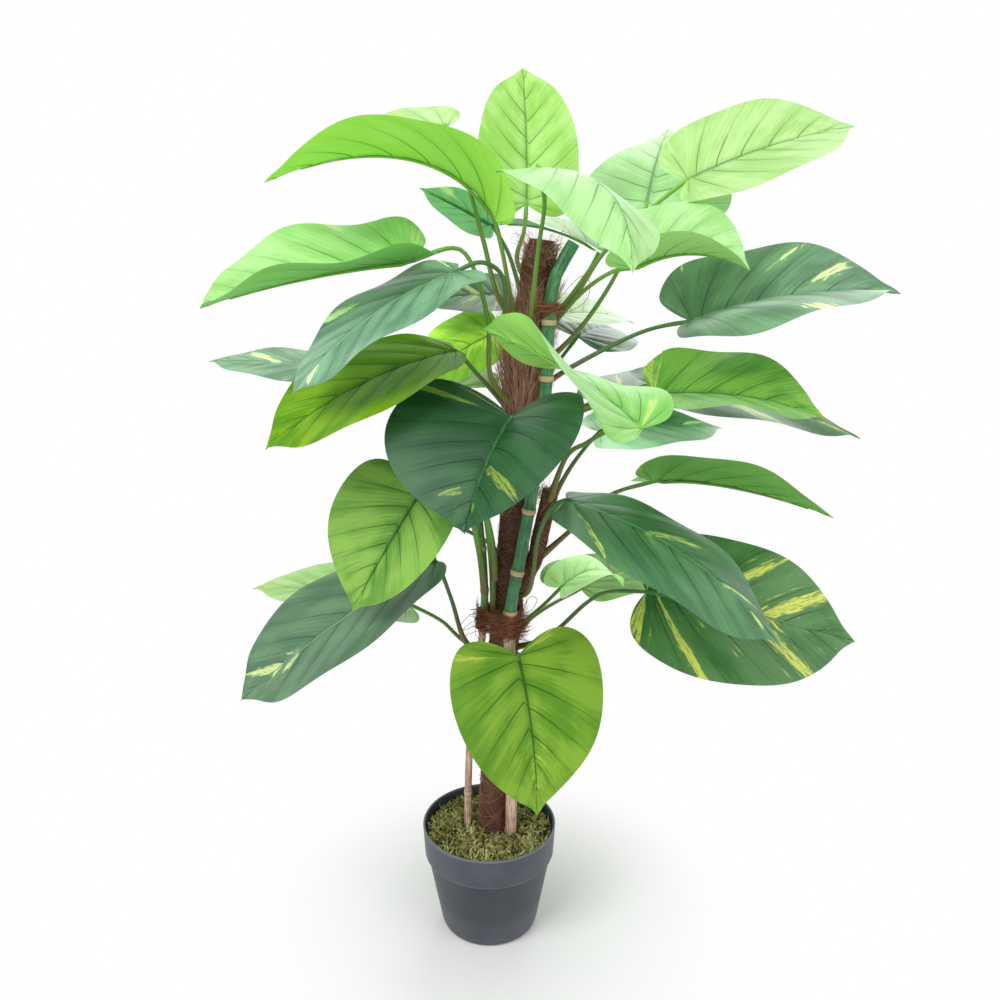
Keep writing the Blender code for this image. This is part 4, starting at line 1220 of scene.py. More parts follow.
    def normals(self, points: Array) -> Array:
        """Upward normals of the surface: the way across crossed with the way along it."""
        down = np.gradient(points, axis=0)
        over = np.gradient(points, axis=1)
        normal = np.cross(over, down)
        normal[0], normal[-1] = normal[1], normal[-2]
        normal = unit(normal)
        middle = self.midrib(np.array([0.4]))[3][0]
        return normal * np.sign((normal * middle).sum(axis=-1).mean())

    def variegation(self, out: Array, turn: Array, streaks: Sequence[Streak]) -> Array:
        """Weight of the variegation: the largest of the streaks' bells."""
        share = turn / math.pi
        weight = np.zeros(share.shape)
        for streak in streaks:
            here = bell(out, streak.across, streak.reach) * bell(share, streak.along, streak.spread)
            weight = np.maximum(weight, streak.weight * here)
        return weight

    def add_to(self, skin: Skin, streaks: Sequence[Streak]) -> None:
        """Add both faces of the blade, which meet at the margin.

        The faces lie half the thickness from the middle surface, which bulges between two side
        veins, sinks at each vein and along the midrib, and thins to nothing at the margin.
        """
        points, out, turn = self.sheet()
        normal = self.normals(points)
        count = self.vein_count(out, turn)
        gap = np.abs(count % 1 - 0.5)
        reach = np.abs(out)
        fade = ramp(1 - reach, 0.0, 0.6) * ramp(np.sin(turn), 0.0, 0.3)
        veins, rib = bell(gap, 0, self.GROOVE_WIDTH), bell(reach, 0, self.GROOVE_WIDTH)
        groove = veins * fade * self.VEIN_GROOVE + rib * self.RIB_GROOVE
        relief = self.QUILT * ramp(gap, 0.0, 0.4) * fade - groove
        thick = self.THICKNESS / 2 * np.sqrt(np.clip(1 - reach**4, 0, 1)) * np.sin(turn) ** 0.5
        marks = {"streak": self.variegation(out, turn, streaks)}
        for face, shift in ((1, 0.0), (-1, UNDER_MAP)):
            lift = relief * np.clip(1 - reach**6, 0, 1) + face * thick
            skin.grid(points + normal * lift[..., None], vectors(out + shift, count), 0, marks)


class LeafPiece:
    """A leaf as one piece: its blade, and its stalk that runs on as a rib under the blade."""

    FOOT_RADIUS = 0.0036
    TOP_RADIUS = 0.0023
    RIB_END_RADIUS = 0.0005
    STATIONS = 64
    SIDES = 10
    SHEATH = 0.5
    KNEE = 0.22
    RIB_SPAN = (0.04, 0.86)
    RIB_POINTS = 8
    RIB_DROP = 0.0012
    SEED_STEP = 1.37

    def __init__(self, leaf: Leaf, number: int) -> None:
        self.leaf = leaf
        self.number = number
        self.blade = Blade(leaf)

    def stalk(self, skin: Skin) -> None:
        """Add the stalk: from its stem's skin through its places, then along under the midrib.

        The radius falls evenly from foot to blade, swells at the sheath round the foot and at the
        knee below the blade, and runs out towards the tip.
        """
        leaf = self.leaf
        x = np.linspace(*self.RIB_SPAN, self.RIB_POINTS)
        rib, _, _, up = self.blade.midrib(x)
        sink = (self.RIB_DROP + self.TOP_RADIUS * 0.7 * (1 - x))[:, None]
        foot = STEMS[leaf.carrier].at(leaf.leaves_at / MM)
        via = [np.array(place) / MM for place in leaf.via]
        path = smooth_path([foot, *via, self.blade.base, *(rib - up * sink)], self.STATIONS)
        knee_at = np.linalg.norm(path - self.blade.base, axis=1).argmin() / (len(path) - 1)
        run = np.linspace(0, 1, len(path))
        radii = (self.FOOT_RADIUS, self.TOP_RADIUS, self.RIB_END_RADIUS)
        swell = 1 + self.SHEATH * bell(run, 0.0, 0.10) + self.KNEE * bell(run, knee_at - 0.04, 0.04)
        skin.tube(path, np.interp(run, [0, knee_at, 1], radii) * swell, self.SIDES, slot=1)

    def build(self) -> bpy.types.Object:
        """Make the leaf, ride it and let it stand for its solid."""
        leaf = self.leaf
        marks = MARKS.get(leaf.name, Marks())
        skin = Skin(leaf.name + "_fine")
        self.blade.add_to(skin, marks.streaks)
        self.stalk(skin)
        blade_finish = BladeFinish("blade_" + leaf.name, leaf.kind, self.SEED_STEP * self.number, marks)
        return dressed(skin.piece([blade_finish, StalkFinish(leaf.kind)]), leaf.kind.value, leaf.name)


def dressed(piece: bpy.types.Object, slot: str, *solids: str) -> bpy.types.Object:
    """Ride a piece on the plant and let it stand for these solids."""
    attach(piece, BODY)
    if solids:
        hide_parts(*solids)
    LOG.info("%s: %d faces, for %s", piece.name, len(piece.data.polygons), ", ".join(solids) or "detail")
    return piece


# -------------------- Stems, pole and ties --------------------


@dataclass(frozen=True)
class Stem:
    """A round stem.

    Attributes:
        line: Places along its middle, from the foot up, in millimetres.
        radius: Its radius, in metres.
        scars: Heights of its leaf scars, in millimetres.
    """

    line: tuple[Place, ...]
    radius: float
    scars: tuple[float, ...] = ()

    def path(self) -> Array:
        """The middle line."""
        return smooth_path(np.array(self.line) / MM, 4 * len(self.line))

    def at(self, height: Union[float, Array]) -> Array:
        """The middle line's points at these heights."""
        path = self.path()
        return np.stack([np.interp(height, path[:, 2], path[:, k]) for k in range(3)], axis=-1)

    def along(self, count: int) -> Array:
        """Points of the middle line at even heights."""
        return self.at(np.linspace(self.foot, self.top, count))

    @property
    def foot(self) -> float:
        """Height of its lower end."""
        return self.line[0][2] / MM

    @property
    def top(self) -> float:
        """Height of its upper end."""
        return self.line[-1][2] / MM


STEMS: dict[str, Stem] = {
    "pole": Stem((
        (0, 0, 60), (4, 0, 158), (12, 0, 300), (23, 0, 480), (34, 0, 600), (40, 0, 720), (47, 0, 830),
        (59, 0, 930), (68, 0, 1003),
    ), 0.020),
    "front_cane": Stem((
        (31, -16, 70), (32, -17, 170), (33, -26, 310), (30, -33, 440), (29, -36, 513), (42, -36, 590),
        (55, -34, 667), (67, -33, 750), (74, -32, 826), (80, -29, 945), (106, -22, 1000),
    ), 0.0085, (250, 380, 517, 575, 660, 760, 835, 905)),
    "left_cane": Stem((
        (-34, 0, 75), (-32, 0, 170), (-28, -2, 290), (-16, -8, 410), (-6, -12, 500), (-6, -12, 570),
        (-12, -10, 640),
    ), 0.0055, (215, 300, 420, 540, 600)),
    "right_branch": Stem(((28, 0, 520), (60, 0, 570), (72, 0, 620), (84, 0, 679)), 0.0105),
}


@dataclass(frozen=True)
class Canes:
    """The two canes, each with its leaf scars, its dry foot and its cut end."""

    sides: int = 24
    stations: int = 420
    scar_height: float = 0.0042
    scar_swell: float = 0.20
    wander: float = 0.03
    dry_blend: float = 0.01
    dry_below: tuple[tuple[str, float], ...] = (("front_cane", 0.508), ("left_cane", 0.500))
    greens: tuple[tuple[Colour, Colour], ...] = (
        (srgb(34, 98, 58), srgb(84, 156, 98)), (srgb(76, 122, 56), srgb(136, 172, 98)),
    )

    def build(self) -> None:
        """Make both canes.

        The radius is the cane's own, times 1 plus a bell at each scar, times a slow wander of a
        few per cent round and along the cane.
        """
        for (name, dry_below), greens in zip(self.dry_below, self.greens):
            stem = STEMS[name]
            path = stem.along(self.stations)
            height = path[:, 2]
            scar = np.max([bell(height, at / MM, self.scar_height) for at in stem.scars], axis=0)
            dry = 1 - ramp(height, dry_below - self.dry_blend, dry_below + self.dry_blend)
            wander = 1 + self.wander * round_noise(ring_angles(self.sides), height[:, None], 1.5, 60, 5)
            radius = stem.radius * (0.95 + self.scar_swell * scar)[:, None] * wander
            skin = Skin(name + "_fine")
            skin.tube(path, radius, self.sides, 0, {"scar": scar, "dry": dry})
            dressed(skin.piece([CaneFinish(name + "_skin", *greens)]), "cane", name)


FIBRE_RADII: Span = (0.00014, 0.00034)
LOOSE_STATIONS = 6
LOOSE_RUN = np.linspace(0, 1, LOOSE_STATIONS)[None, :, None]
"""The share of a loose fibre's length at each of its points."""


def thickness(rng: np.random.Generator, radii: Span, count: int, shape: Sequence[float]) -> Array:
    """Radii of strands: a random one for each, times its shape along the strand."""
    return rng.uniform(*radii, (count, 1)) * np.array(shape)


@dataclass(frozen=True)
class Winding:
    """Fibres wound round a stem at a slant.

    Attributes:
        stem: The stem.
        count: How many fibres.
        span: Heights of the lowest and the highest.
        slants: Least and most slant from the stem's direction, in degrees.
        lengths: Least and most length.
        lifts: Least and most distance from the stem's skin.
        spring: Mean of how much further a fibre's middle lifts.
        stations: Points along a fibre.
    """

    stem: Stem
    count: int
    span: Span
    slants: Span
    lengths: Span
    lifts: Span
    spring: float
    stations: int

    def curves(self, rng: np.random.Generator, swell: Optional[Callable[[Array], Array]] = None) -> Array:
        """The fibres' middle lines.

        A fibre starts at a random height and angle, and runs on at a slant: its angle grows by
        the sine of the slant times its length over the radius, and its height by the cosine. It
        lifts off the stem by a half sine.

        Args:
            rng: Where the random numbers come from.
            swell: How much the stem swells at a height.

        Returns:
            The lines, (fibres, stations, 3).
        """
        stem, count = self.stem, self.count
        t = np.linspace(0, 1, self.stations)[None, :]
        slant = np.radians(rng.choice([-1, 1], count) * rng.uniform(*self.slants, count))[:, None]
        length = rng.uniform(*self.lengths, count)[:, None]
        middle = rng.uniform(*self.span, count)[:, None]
        height = np.clip(middle + np.cos(slant) * length * (t - 0.5), *self.span)
        turn = rng.uniform(0, FULL_TURN, count)[:, None] + np.sin(slant) * length * t / stem.radius
        lift = rng.uniform(*self.lifts, count)[:, None]
        lift = lift + rng.exponential(self.spring, count)[:, None] * np.sin(math.pi * t)
        if swell is not None:
            lift = lift + swell(height) * rng.uniform(0.7, 1.2, (count, 1))
        return stem.at(height) + (stem.radius + lift)[..., None] * around(turn)


def curled(
    root: Array, ahead: Array, lengths: Span, turns: Span, size: float, rng: np.random.Generator
) -> Array:
    """Middle lines of loose fibres, each straight but for a sine on a random direction.

    Args:
        root: Where each starts, (fibres, 3).
        ahead: The direction each leaves in, (fibres, 3).
        lengths: Least and most length.
        turns: Least and most angle that the sine runs through.
        size: The sine's height, as a share of the length.
        rng: Where the random numbers come from.

    Returns:
        The lines, (fibres, LOOSE_STATIONS, 3).
    """
    count = len(root)
    curl = any_way(rng, count, 1)
    length = rng.uniform(*lengths, (count, 1, 1))
    bend = np.sin(LOOSE_RUN * rng.uniform(*turns, (count, 1, 1))) * size
    return root[:, None] + length * (ahead[:, None] * LOOSE_RUN + curl * bend)


def cored(name: str, path: Array, radii: Array, sides: int, tone: float, slot: str, solid: str) -> None:
    """Make and dress a rough core of this radius along a path, for fibres to be wound on."""
    skin = Skin(name)
    skin.tube(path, radii, sides, 0, {"tone": tone})
    dressed(skin.piece([COIR_DARK]), slot, solid)


@dataclass(frozen=True)
class CoirPole:
    """The coir sleeve: a lumpy core, wound fibres, a frayed top and a husk below it.

    Attributes:
        sides: Points round the core.
        stations: Rings along the core.
        fibres: Fibres wound round it.
        frayed: Loose fibres at its top.
        husk: Straight coarse fibres that stand up among the upper stalks, most on the side they face.
    """

    sides: int = 72
    stations: int = 300
    fibres: int = 4300
    frayed: int = 260
    husk: int = 2400

    CORE_DEPTH = 0.0008
    TOP_TAPER = 0.20
    HUSK_FACES = -0.9
    HUSK_SWELL = 0.006
    HUSK_HEIGHT = 0.860
    HUSK_SPREAD = 0.055
    HUSK_SPAN = (0.775, 0.905)
    HUSK_LENGTHS = (0.025, 0.065)
    FRAY_DEPTHS = (0.002, 0.045)
    FRAY_LENGTHS = (0.008, 0.030)
    LOOSE_RADII = (0.00016, 0.00036)

    def core(self) -> None:
        """The core: the pole's radius plus lumps, and noise drawn out along two windings."""
        stem = STEMS["pole"]
        path = stem.along(self.stations)
        angle = ring_angles(self.sides)[None, :]
        height = path[:, 2][:, None]
        lean = height * 90
        lumps = round_noise(angle, height, 2, 30, 1)
        threads = round_noise(angle + lean * 0.35, height, 5, 160, 2)
        crossing = round_noise(angle - lean * 0.25, height, 6, 120, 3)
        rough = 0.0007 * lumps + 0.0007 * np.abs(threads) + 0.0006 * np.abs(crossing)
        taper = 1 - self.TOP_TAPER * ramp(height, stem.top - 0.03, stem.top)
        radii = (stem.radius - self.CORE_DEPTH) * taper + 0.7 * self.swell(height) + rough
        cored("coir_sleeve_fine", path, radii, self.sides, 0.25, "coir", "coir_sleeve")

    def swell(self, height: Array) -> Array:
        """How much the sleeve swells at a height, where the upper stalks leave it."""
        return self.HUSK_SWELL * bell(height, self.HUSK_HEIGHT, self.HUSK_SPREAD)

    def wound(self, rng: np.random.Generator) -> None:
        """Fibres wound round the core."""
        stem = STEMS["pole"]
        span = (0.150, stem.top - 0.006)
        winding = Winding(stem, self.fibres, span, (25, 80), (0.020, 0.050), (0.0001, 0.0009), 0.0007, 5)
        curves = winding.curves(rng, self.swell)
        radii = thickness(rng, FIBRE_RADII, self.fibres, (0.6, 1, 1, 1, 0.5))
        tones = rng.beta(1.6, 2.6, self.fibres)
        dressed(strands("coir_fibres", curves, radii, tones, COIR_FIBRE, rng), "coir")

    def loose(self, rng: np.random.Generator) -> None:
        """The frayed top and the husk.

        A loose fibre starts on the pole and leaves it along a random outward and upward direction.
        A husk fibre does the same, but leans out less and is longer.
        """
        stem = STEMS["pole"]
        count = self.frayed
        ring = around(rng.uniform(0, FULL_TURN, count))
        shallow, deep = self.FRAY_DEPTHS
        root = stem.at(rng.uniform(stem.top - deep, stem.top - shallow, count))
        root = root + ring * (stem.radius * rng.uniform(0.5, 0.95, count))[:, None]
        outwards = ring * rng.uniform(0.1, 1.2, (count, 1))
        ahead = unit(outwards + UP * rng.uniform(-0.2, 1.3, (count, 1)))
        frayed = curled(root, ahead, self.FRAY_LENGTHS, (1.5, 4.5), 0.35, rng)
        count = self.husk
        ring = around(rng.normal(self.HUSK_FACES, 1.5, count))
        root = stem.at(rng.uniform(*self.HUSK_SPAN, count)) + ring * (stem.radius + 0.001)
        ahead = unit(ring * rng.uniform(0.02, 0.55, (count, 1)) + UP)
        husk = curled(root, ahead, self.HUSK_LENGTHS, (1.5, 6.0), 0.07, rng)
        curves = np.concatenate([frayed, husk])
        radii = thickness(rng, self.LOOSE_RADII, len(curves), (1, 1, 1, 0.9, 0.8, 0.4))
        tones = np.concatenate([rng.uniform(0.2, 0.9, self.frayed), rng.uniform(0.4, 1.0, self.husk)])
        dressed(strands("coir_frayed", curves, radii, tones, COIR_HUSK, rng), "coir")

    def build(self) -> None:
        """Make the pole."""
        rng = np.random.default_rng(11)
        self.core()
        self.wound(rng)
        self.loose(rng)


@dataclass(frozen=True)
class SideBranch:
    """The side branch that coir is wound round, with a tangle of fibre at its upper end."""

    sides: int = 40
    stations: int = 110
    fibres: int = 900
    tangle: int = 90

    def build(self) -> None:
        """Make the branch: its radius plus noise drawn out round it, then its fibres and tangle.

        A tangle fibre is a loose arc: it leaves the branch's end sideways, and curls by sines of
        its length on two random directions.
        """
        rng = np.random.default_rng(23)
        stem = STEMS["right_branch"]
        path = stem.along(self.stations)
        grain = round_noise(ring_angles(self.sides)[None, :], path[:, 2][:, None], 4, 220, 9)
        radii = stem.radius - 0.0004 + 0.0010 * np.abs(grain)
        cored("right_branch_fine", path, radii, self.sides, 0.35, "coir_branch", "right_branch")
        span = (stem.foot + 0.012, stem.top)
        winding = Winding(
            stem, self.fibres, span, (10, 75), (0.012, 0.030), (0.0, 0.0006), 0.0004, LOOSE_STATIONS
        )
        wound = winding.curves(rng)
        count = self.tangle
        end = stem.at(np.full(count, stem.top - 0.004)) + rng.normal(0, 0.004, (count, 3))
        ahead = unit(rng.normal(size=(count, 3)) * np.array([0.8, 0.5, 0.4]) + np.array([-0.9, 0.0, 0.1]))
        first, second = any_way(rng, count, 1), any_way(rng, count, 1)
        length = rng.uniform(0.010, 0.045, (count, 1, 1))
        swing = first * np.sin(4 * LOOSE_RUN) * 0.25 + second * np.sin(7 * LOOSE_RUN) * 0.12
        tangle = end[:, None] + length * (ahead[:, None] * LOOSE_RUN + swing)
        curves = np.concatenate([wound, tangle])
        radii = thickness(rng, FIBRE_RADII, len(curves), (0.7, 1, 1, 1, 0.9, 0.5))
        tones = rng.beta(2, 2.4, len(curves))
        dressed(strands("branch_fibres", curves, radii, tones, COIR_FIBRE, rng), "coir_branch")


@dataclass(frozen=True)
class Tie:
    """A tie: cords wound round the pole and the canes that it holds, with loose ends."""

    name: str
    low: float
    high: float
    held: tuple[str, ...]
    turns: int
    cord_radius: float
    seed: int
    hairs: int
    stations: int = 96
    clearance: float = 0.0009

    HAIR_LENGTHS = (0.008, 0.028)
    HAIR_RADII = (0.00016, 0.0004)

    def loop(self, height: float, away: float) -> Array:
        """The taut loop at a height, `away` outside the stems.

        In each direction, the loop's point is on the stem that reaches furthest that way: the
        stem's middle plus the direction times its radius and the clearance.
        """
        angle = np.linspace(0, FULL_TURN, self.stations, endpoint=False)
        out = around(angle)[:, :2]
        middles = np.array([STEMS[name].at(height)[:2] for name in self.held])
        radii = np.array([STEMS[name].radius for name in self.held])
        furthest = (out @ middles.T + radii).argmax(axis=1)
        flat = middles[furthest] + out * (radii[furthest] + away)[:, None]
        flat = sum(np.roll(flat, k, axis=0) for k in range(-3, 4)) / 7
        return np.column_stack([flat, np.full(self.stations, height)])

    def build(self) -> None:
        """Make the tie: closed cords at even heights that wander up and down, and hairs on them.

        A cord's height wanders by two sines of the angle. A hair starts on a cord and bows out by
        a half sine.
        """
        rng = np.random.default_rng(self.seed)
        angle = np.linspace(0, FULL_TURN, self.stations, endpoint=False)
        skin = Skin(self.name + "_fine")
        paths = []
        for number in range(self.turns):
            share = (number + 0.5) / self.turns
            height = self.low + (self.high - self.low) * share
            path = self.loop(height, self.clearance + self.cord_radius * rng.uniform(0.6, 1.6))
            wander = np.sin(angle * 2 + rng.uniform(0, 6)) + 0.5 * np.sin(angle * 5 + rng.uniform(0, 6))
            path[:, 2] += wander * self.cord_radius * 1.1
            closed = np.vstack([path, path[:1]])
            skin.tube(closed, self.cord_radius, 8, 0, {"tone": rng.uniform(0.3, 0.8)})
            paths.append(path)
        dressed(skin.piece([COIR_TIE]), "tie_fibre", self.name)
        every = np.vstack(paths)
        root = every[rng.integers(0, len(every), self.hairs)]
        middle = STEMS["pole"].at(root[:, 2])
        out = unit((root - middle) * np.array([1, 1, 0]))
        sideways = vectors(-out[:, 1], out[:, 0], 0.0) * rng.choice([-1, 1], (len(out), 1))
        each = (self.hairs, 1, 1)
        length = rng.uniform(*self.HAIR_LENGTHS, each)
        bow = rng.exponential(0.10, each)
        lift = bow * np.sin(math.pi * LOOSE_RUN * rng.uniform(0.5, 1.0, each))
        rise = rng.normal(0, 0.35, each) * UP
        reach = np.linalg.norm(root - middle, axis=1)[:, None, None]
        swing = length * LOOSE_RUN / reach
        flat = middle[:, None] + reach * (out[:, None] * np.cos(swing) + sideways[:, None] * np.sin(swing))
        curves = flat + length * (out[:, None] * lift + rise * LOOSE_RUN)
        radii = thickness(rng, self.HAIR_RADII, self.hairs, (1, 1, 1, 1, 0.8, 0.4))
        tones = rng.uniform(0.2, 1.0, self.hairs)
        dressed(strands(self.name + "_hairs", curves, radii, tones, COIR_TIE, rng), "tie_fibre")


@dataclass(frozen=True)
class Tubes:
    """Thin tubes along smooth curves, in one piece.

    Attributes:
        name: The piece's name.
        slot: Their slot in the record.
        finish: What they wear.
        radius: Their radius.
        taper: What it is multiplied by at the start and at the end.
        sides: Points round each tube.
        stations: Points along each tube.
        tone: The first tube's tone.
        paler: How much is added to it for each next tube.
        routes: Places that each tube passes, in millimetres.
    """

    name: str
    slot: str
    finish: Finish
    radius: float
    taper: Span
    sides: int
    stations: int
    tone: float
    paler: float
    routes: tuple[tuple[Place, ...], ...]

    def build(self) -> None:
        """Make the piece."""
        skin = Skin(self.name)
        radii = self.radius * np.linspace(*self.taper, self.stations)
        for number, route in enumerate(self.routes):
            path = smooth_path(np.array(route) / MM, self.stations)
            skin.tube(path, radii, self.sides, 0, {"tone": self.tone + self.paler * number})
        dressed(skin.piece([self.finish]), self.slot)


# -------------------- Pot and filling --------------------


@dataclass(frozen=True)
class Pot:
    """The nursery pot: a thin tapered shell with a deep collar, a rounded foot and drain holes."""

    height: float = 0.167
    rim_radius: float = 0.098
    collar_height: float = 0.047
    collar_taper: float = 0.0025
    collar_step: float = 0.0035
    base_radius: float = 0.0705
    foot_round: float = 0.006
    wall: float = 0.003
    steps: int = 144
    drain_holes: int = 6
    drain_radius: float = 0.004
    drain_circle: float = 0.042

    @property
    def collar(self) -> float:
        """Height of the collar's lower edge."""
        return self.height - self.collar_height

    def outer(self, height: Array) -> Array:
        """Radius of the outer skin below the collar: a straight taper."""
        top = self.rim_radius - self.collar_taper - self.collar_step
        return self.base_radius + (top - self.base_radius) * height / self.collar

    def inner(self, height: Array) -> Array:
        """Radius of the inner skin: the taper less the wall, and wider inside the collar."""
        low = self.outer(self.collar) - self.wall
        inside = low + (self.rim_radius - self.wall - low) * (height - self.collar) / self.collar_height
        return np.where(height <= self.collar, self.outer(height) - self.wall, inside)

    @staticmethod
    def arc(middle: Span, radius: float, start: float, end: float, count: int = 9) -> Array:
        """Points (radius, height) on an arc between two angles in degrees."""
        angle = np.radians(np.linspace(start, end, count))
        return middle + vectors(*polar(radius, angle))

    @staticmethod
    def run(start: Span, end: Span, count: int = 12) -> Array:
        """Even points (radius, height) between two ends."""
        return np.linspace(start, end, count)

    def profile(self) -> Array:
        """The outline: from the middle of the floor, up inside, over the lip and down to the middle."""
        wall, foot, collar, rim = self.wall, self.foot_round, self.collar, self.rim_radius
        lip, shelf, edge = wall / 2, collar - 0.001, rim - self.collar_taper
        inner, outer, run, arc = self.inner, self.outer, self.run, self.arc
        under = outer(shelf)
        return np.vstack([
            run((0, wall), (inner(wall) - foot / 2, wall), 14),
            arc((inner(foot) - foot * 0.8, wall + foot * 0.8), foot * 0.8, -80, 0),
            run((inner(foot * 2), foot * 2), (inner(collar), collar)),
            run((inner(collar + 0.002), collar + 0.002), (rim - wall, self.height - lip)),
            arc((rim - lip, self.height - lip), lip, 170, 0),
            run((rim - 0.0001, self.height - lip - 0.001), (edge + 0.0001, collar + 0.0012)),
            arc((edge - 0.0008, collar + 0.0008), 0.0008, 0, -80, 6),
            run((edge - 0.0012, collar - 0.0001), (under + 0.0006, shelf + 0.0003), 3),
            arc((under + 0.0006, shelf - 0.0005), 0.0006, 100, 180, 5),
            run((outer(shelf - 0.003), shelf - 0.003), (outer(foot * 1.6), foot * 1.6), 20),
            arc((outer(0.0) - foot, foot), foot, 5, -90),
            run((outer(0.0) - foot - 0.001, 0.0), (0, 0), 14),
        ])

    def build(self) -> None:
        """Make the pot: the profile turned round +Z, with its drain holes cut."""
        profile = self.profile()
        angle = ring_angles(self.steps)
        radius, height = profile[:, 0][:, None], profile[:, 1][:, None]
        points = vectors(*polar(radius, angle), height)
        points[:, -1] = points[:, 0]
        run = np.linspace(0, 1, len(profile))[:, None]
        skin = Skin("pot_fine")
        skin.grid(points, vectors(angle / FULL_TURN, run))
        pot = skin.piece([PotFinish(self.height, self.collar)], sharp=35)
        drill = bmesh.new()
        wide = self.drain_radius
        for turn in np.arange(self.drain_holes) * FULL_TURN / self.drain_holes:
            hole = bmesh.ops.create_cone(
                drill, cap_ends=True, segments=24, radius1=wide, radius2=wide, depth=4 * self.wall
            )
            bmesh.ops.translate(drill, verts=hole["verts"], vec=(*polar(self.drain_circle, turn), 0.0))
        mesh = bpy.data.meshes.new("drain_drill")
        drill.to_mesh(mesh)
        drill.free()
        tool = placed("drain_drill", mesh)
        cut = pot.modifiers.new("drain", "BOOLEAN")
        cut.operation, cut.object, cut.solver = "DIFFERENCE", tool, "EXACT"
        graph = bpy.context.evaluated_depsgraph_get()
        pot.data = bpy.data.meshes.new_from_object(pot.evaluated_get(graph))
        pot.modifiers.clear()
        bpy.data.objects.remove(tool)
        dressed(pot, "pot_plastic", "pot")


@dataclass(frozen=True)
class Moss:
    """The moss on the mix: a bumpy mound and clumps of curling strands."""

    pot: Pot
    low: float = 0.1363
    edge: float = 0.149
    rise: float = 0.006
    clearance: float = 0.0005
    rings: int = 60
    spokes: int = 160
    clumps: int = 260
    strands_each: int = 20
    golden: float = 2.39996

    CLUMP_SCATTER = 0.0015
    STEM_GAP = 0.003
    START_SPREAD = 0.004
    LENGTHS = (0.006, 0.015)
    RADII = (0.0007, 0.0015)
    FULL_RISE = 0.009

    def reach(self, height: float) -> float:
        """How far the moss reaches out at a height: to the pot's wall, less the clearance."""
        return float(self.pot.inner(np.array(height))) - self.clearance

    def height(self, x: Array, y: Array) -> Array:
        """Height of the mound: a low dome plus two layers of noise that fade at the pot's wall."""
        share = np.sqrt(x**2 + y**2) / self.reach(self.edge)
        flat = vectors(x * 70, y * 70, 0.0)
        bumps = 0.0036 * lattice_noise(flat, 4) + 0.0016 * lattice_noise(flat * 3.1, 6)
        return self.edge + self.rise * (1 - share**2) + bumps * (1 - np.clip(share, 0, 1) ** 6)

    def bed(self) -> None:
        """The mound: rings out to the wall, down it, and back under to the middle."""
        foot = self.reach(self.low)
        angle = ring_angles(self.spokes)
        radius = np.linspace(0, self.reach(self.edge), self.rings)[:, None]
        x, y = polar(radius, angle)
        under = np.array([foot, foot * 0.5, 0.0])[:, None]
        below = vectors(*polar(under, angle), self.low)
        points = np.concatenate([vectors(x, y, self.height(x, y)), below])
        points[:, -1] = points[:, 0]
        skin = Skin("moss_fine")
        skin.grid(points, vectors(angle, np.arange(len(points))[:, None] / 10))
        dressed(skin.piece([MossFinish("moss_bed", True)]), "moss", "moss")

    def tufts(self) -> None:
        """The clumps, spread by the golden angle.

        A strand starts near its clump's middle and leaves it outwards and up. Its height follows
        rise times t less droop times t squared, and it curls sideways by a sine.
        """
        rng = np.random.default_rng(7)
        number = np.arange(self.clumps)
        rim = float(self.pot.inner(np.array(self.edge))) - 0.004
        away = rim * np.sqrt((number + 0.5) / self.clumps)
        turn = number * self.golden
        middle = vectors(*polar(away, turn)) + rng.normal(0, self.CLUMP_SCATTER, (self.clumps, 2))
        for name in ("pole", "front_cane", "left_cane"):
            stem = STEMS[name]
            gap = np.linalg.norm(middle - stem.at(self.edge)[:2], axis=1) - stem.radius
            middle = middle[gap > self.STEM_GAP]
        root = np.repeat(middle, self.strands_each, axis=0)
        count = len(root)
        heading = rng.uniform(0, FULL_TURN, count)
        out = around(heading)[:, :2]
        root = root + out * rng.uniform(0, self.START_SPREAD, (count, 1))
        t = np.linspace(0, 1, 5)[None, :]
        length = rng.uniform(*self.LENGTHS, (count, 1))
        side = vectors(-out[:, 1], out[:, 0])[:, None]
        curl = rng.normal(0, 0.32, (count, 1)) * np.sin(t * rng.uniform(1.5, 4.0, (count, 1)))
        run = out[:, None] * t[..., None] * 0.8 + side * curl[..., None]
        flat = root[:, None] + length[..., None] * run
        reach = np.linalg.norm(flat, axis=-1, keepdims=True)
        flat = flat * np.minimum(1, (rim + 0.002) / reach)
        up = rng.uniform(0.5, 1.8, (count, 1)) * t - rng.uniform(0.2, 1.4, (count, 1)) * t**2
        base = self.height(flat[..., 0], flat[..., 1]) + 0.0004
        height = np.maximum(base + length * up * 0.8, base)
        curves = np.concatenate([flat, height[..., None]], axis=-1)
        radii = thickness(rng, self.RADII, count, (0.9, 1.2, 1.2, 0.9, 0.35))
        lifted = np.clip((height.max(axis=1) - base.min(axis=1)) / self.FULL_RISE, 0, 1)
        tones = np.repeat(rng.normal(0.36, 0.22, len(middle)), self.strands_each) + rng.normal(0, 0.16, count)
        tones = np.clip(tones + 0.45 * (lifted - 0.35), 0, 1)
        piece = strands("moss_strands", curves, radii, tones, MossFinish("moss_strand", False), rng)
        dressed(piece, "moss")

    def build(self) -> None:
        """Make the moss."""
        self.bed()
        self.tufts()


# -------------------- Studio --------------------


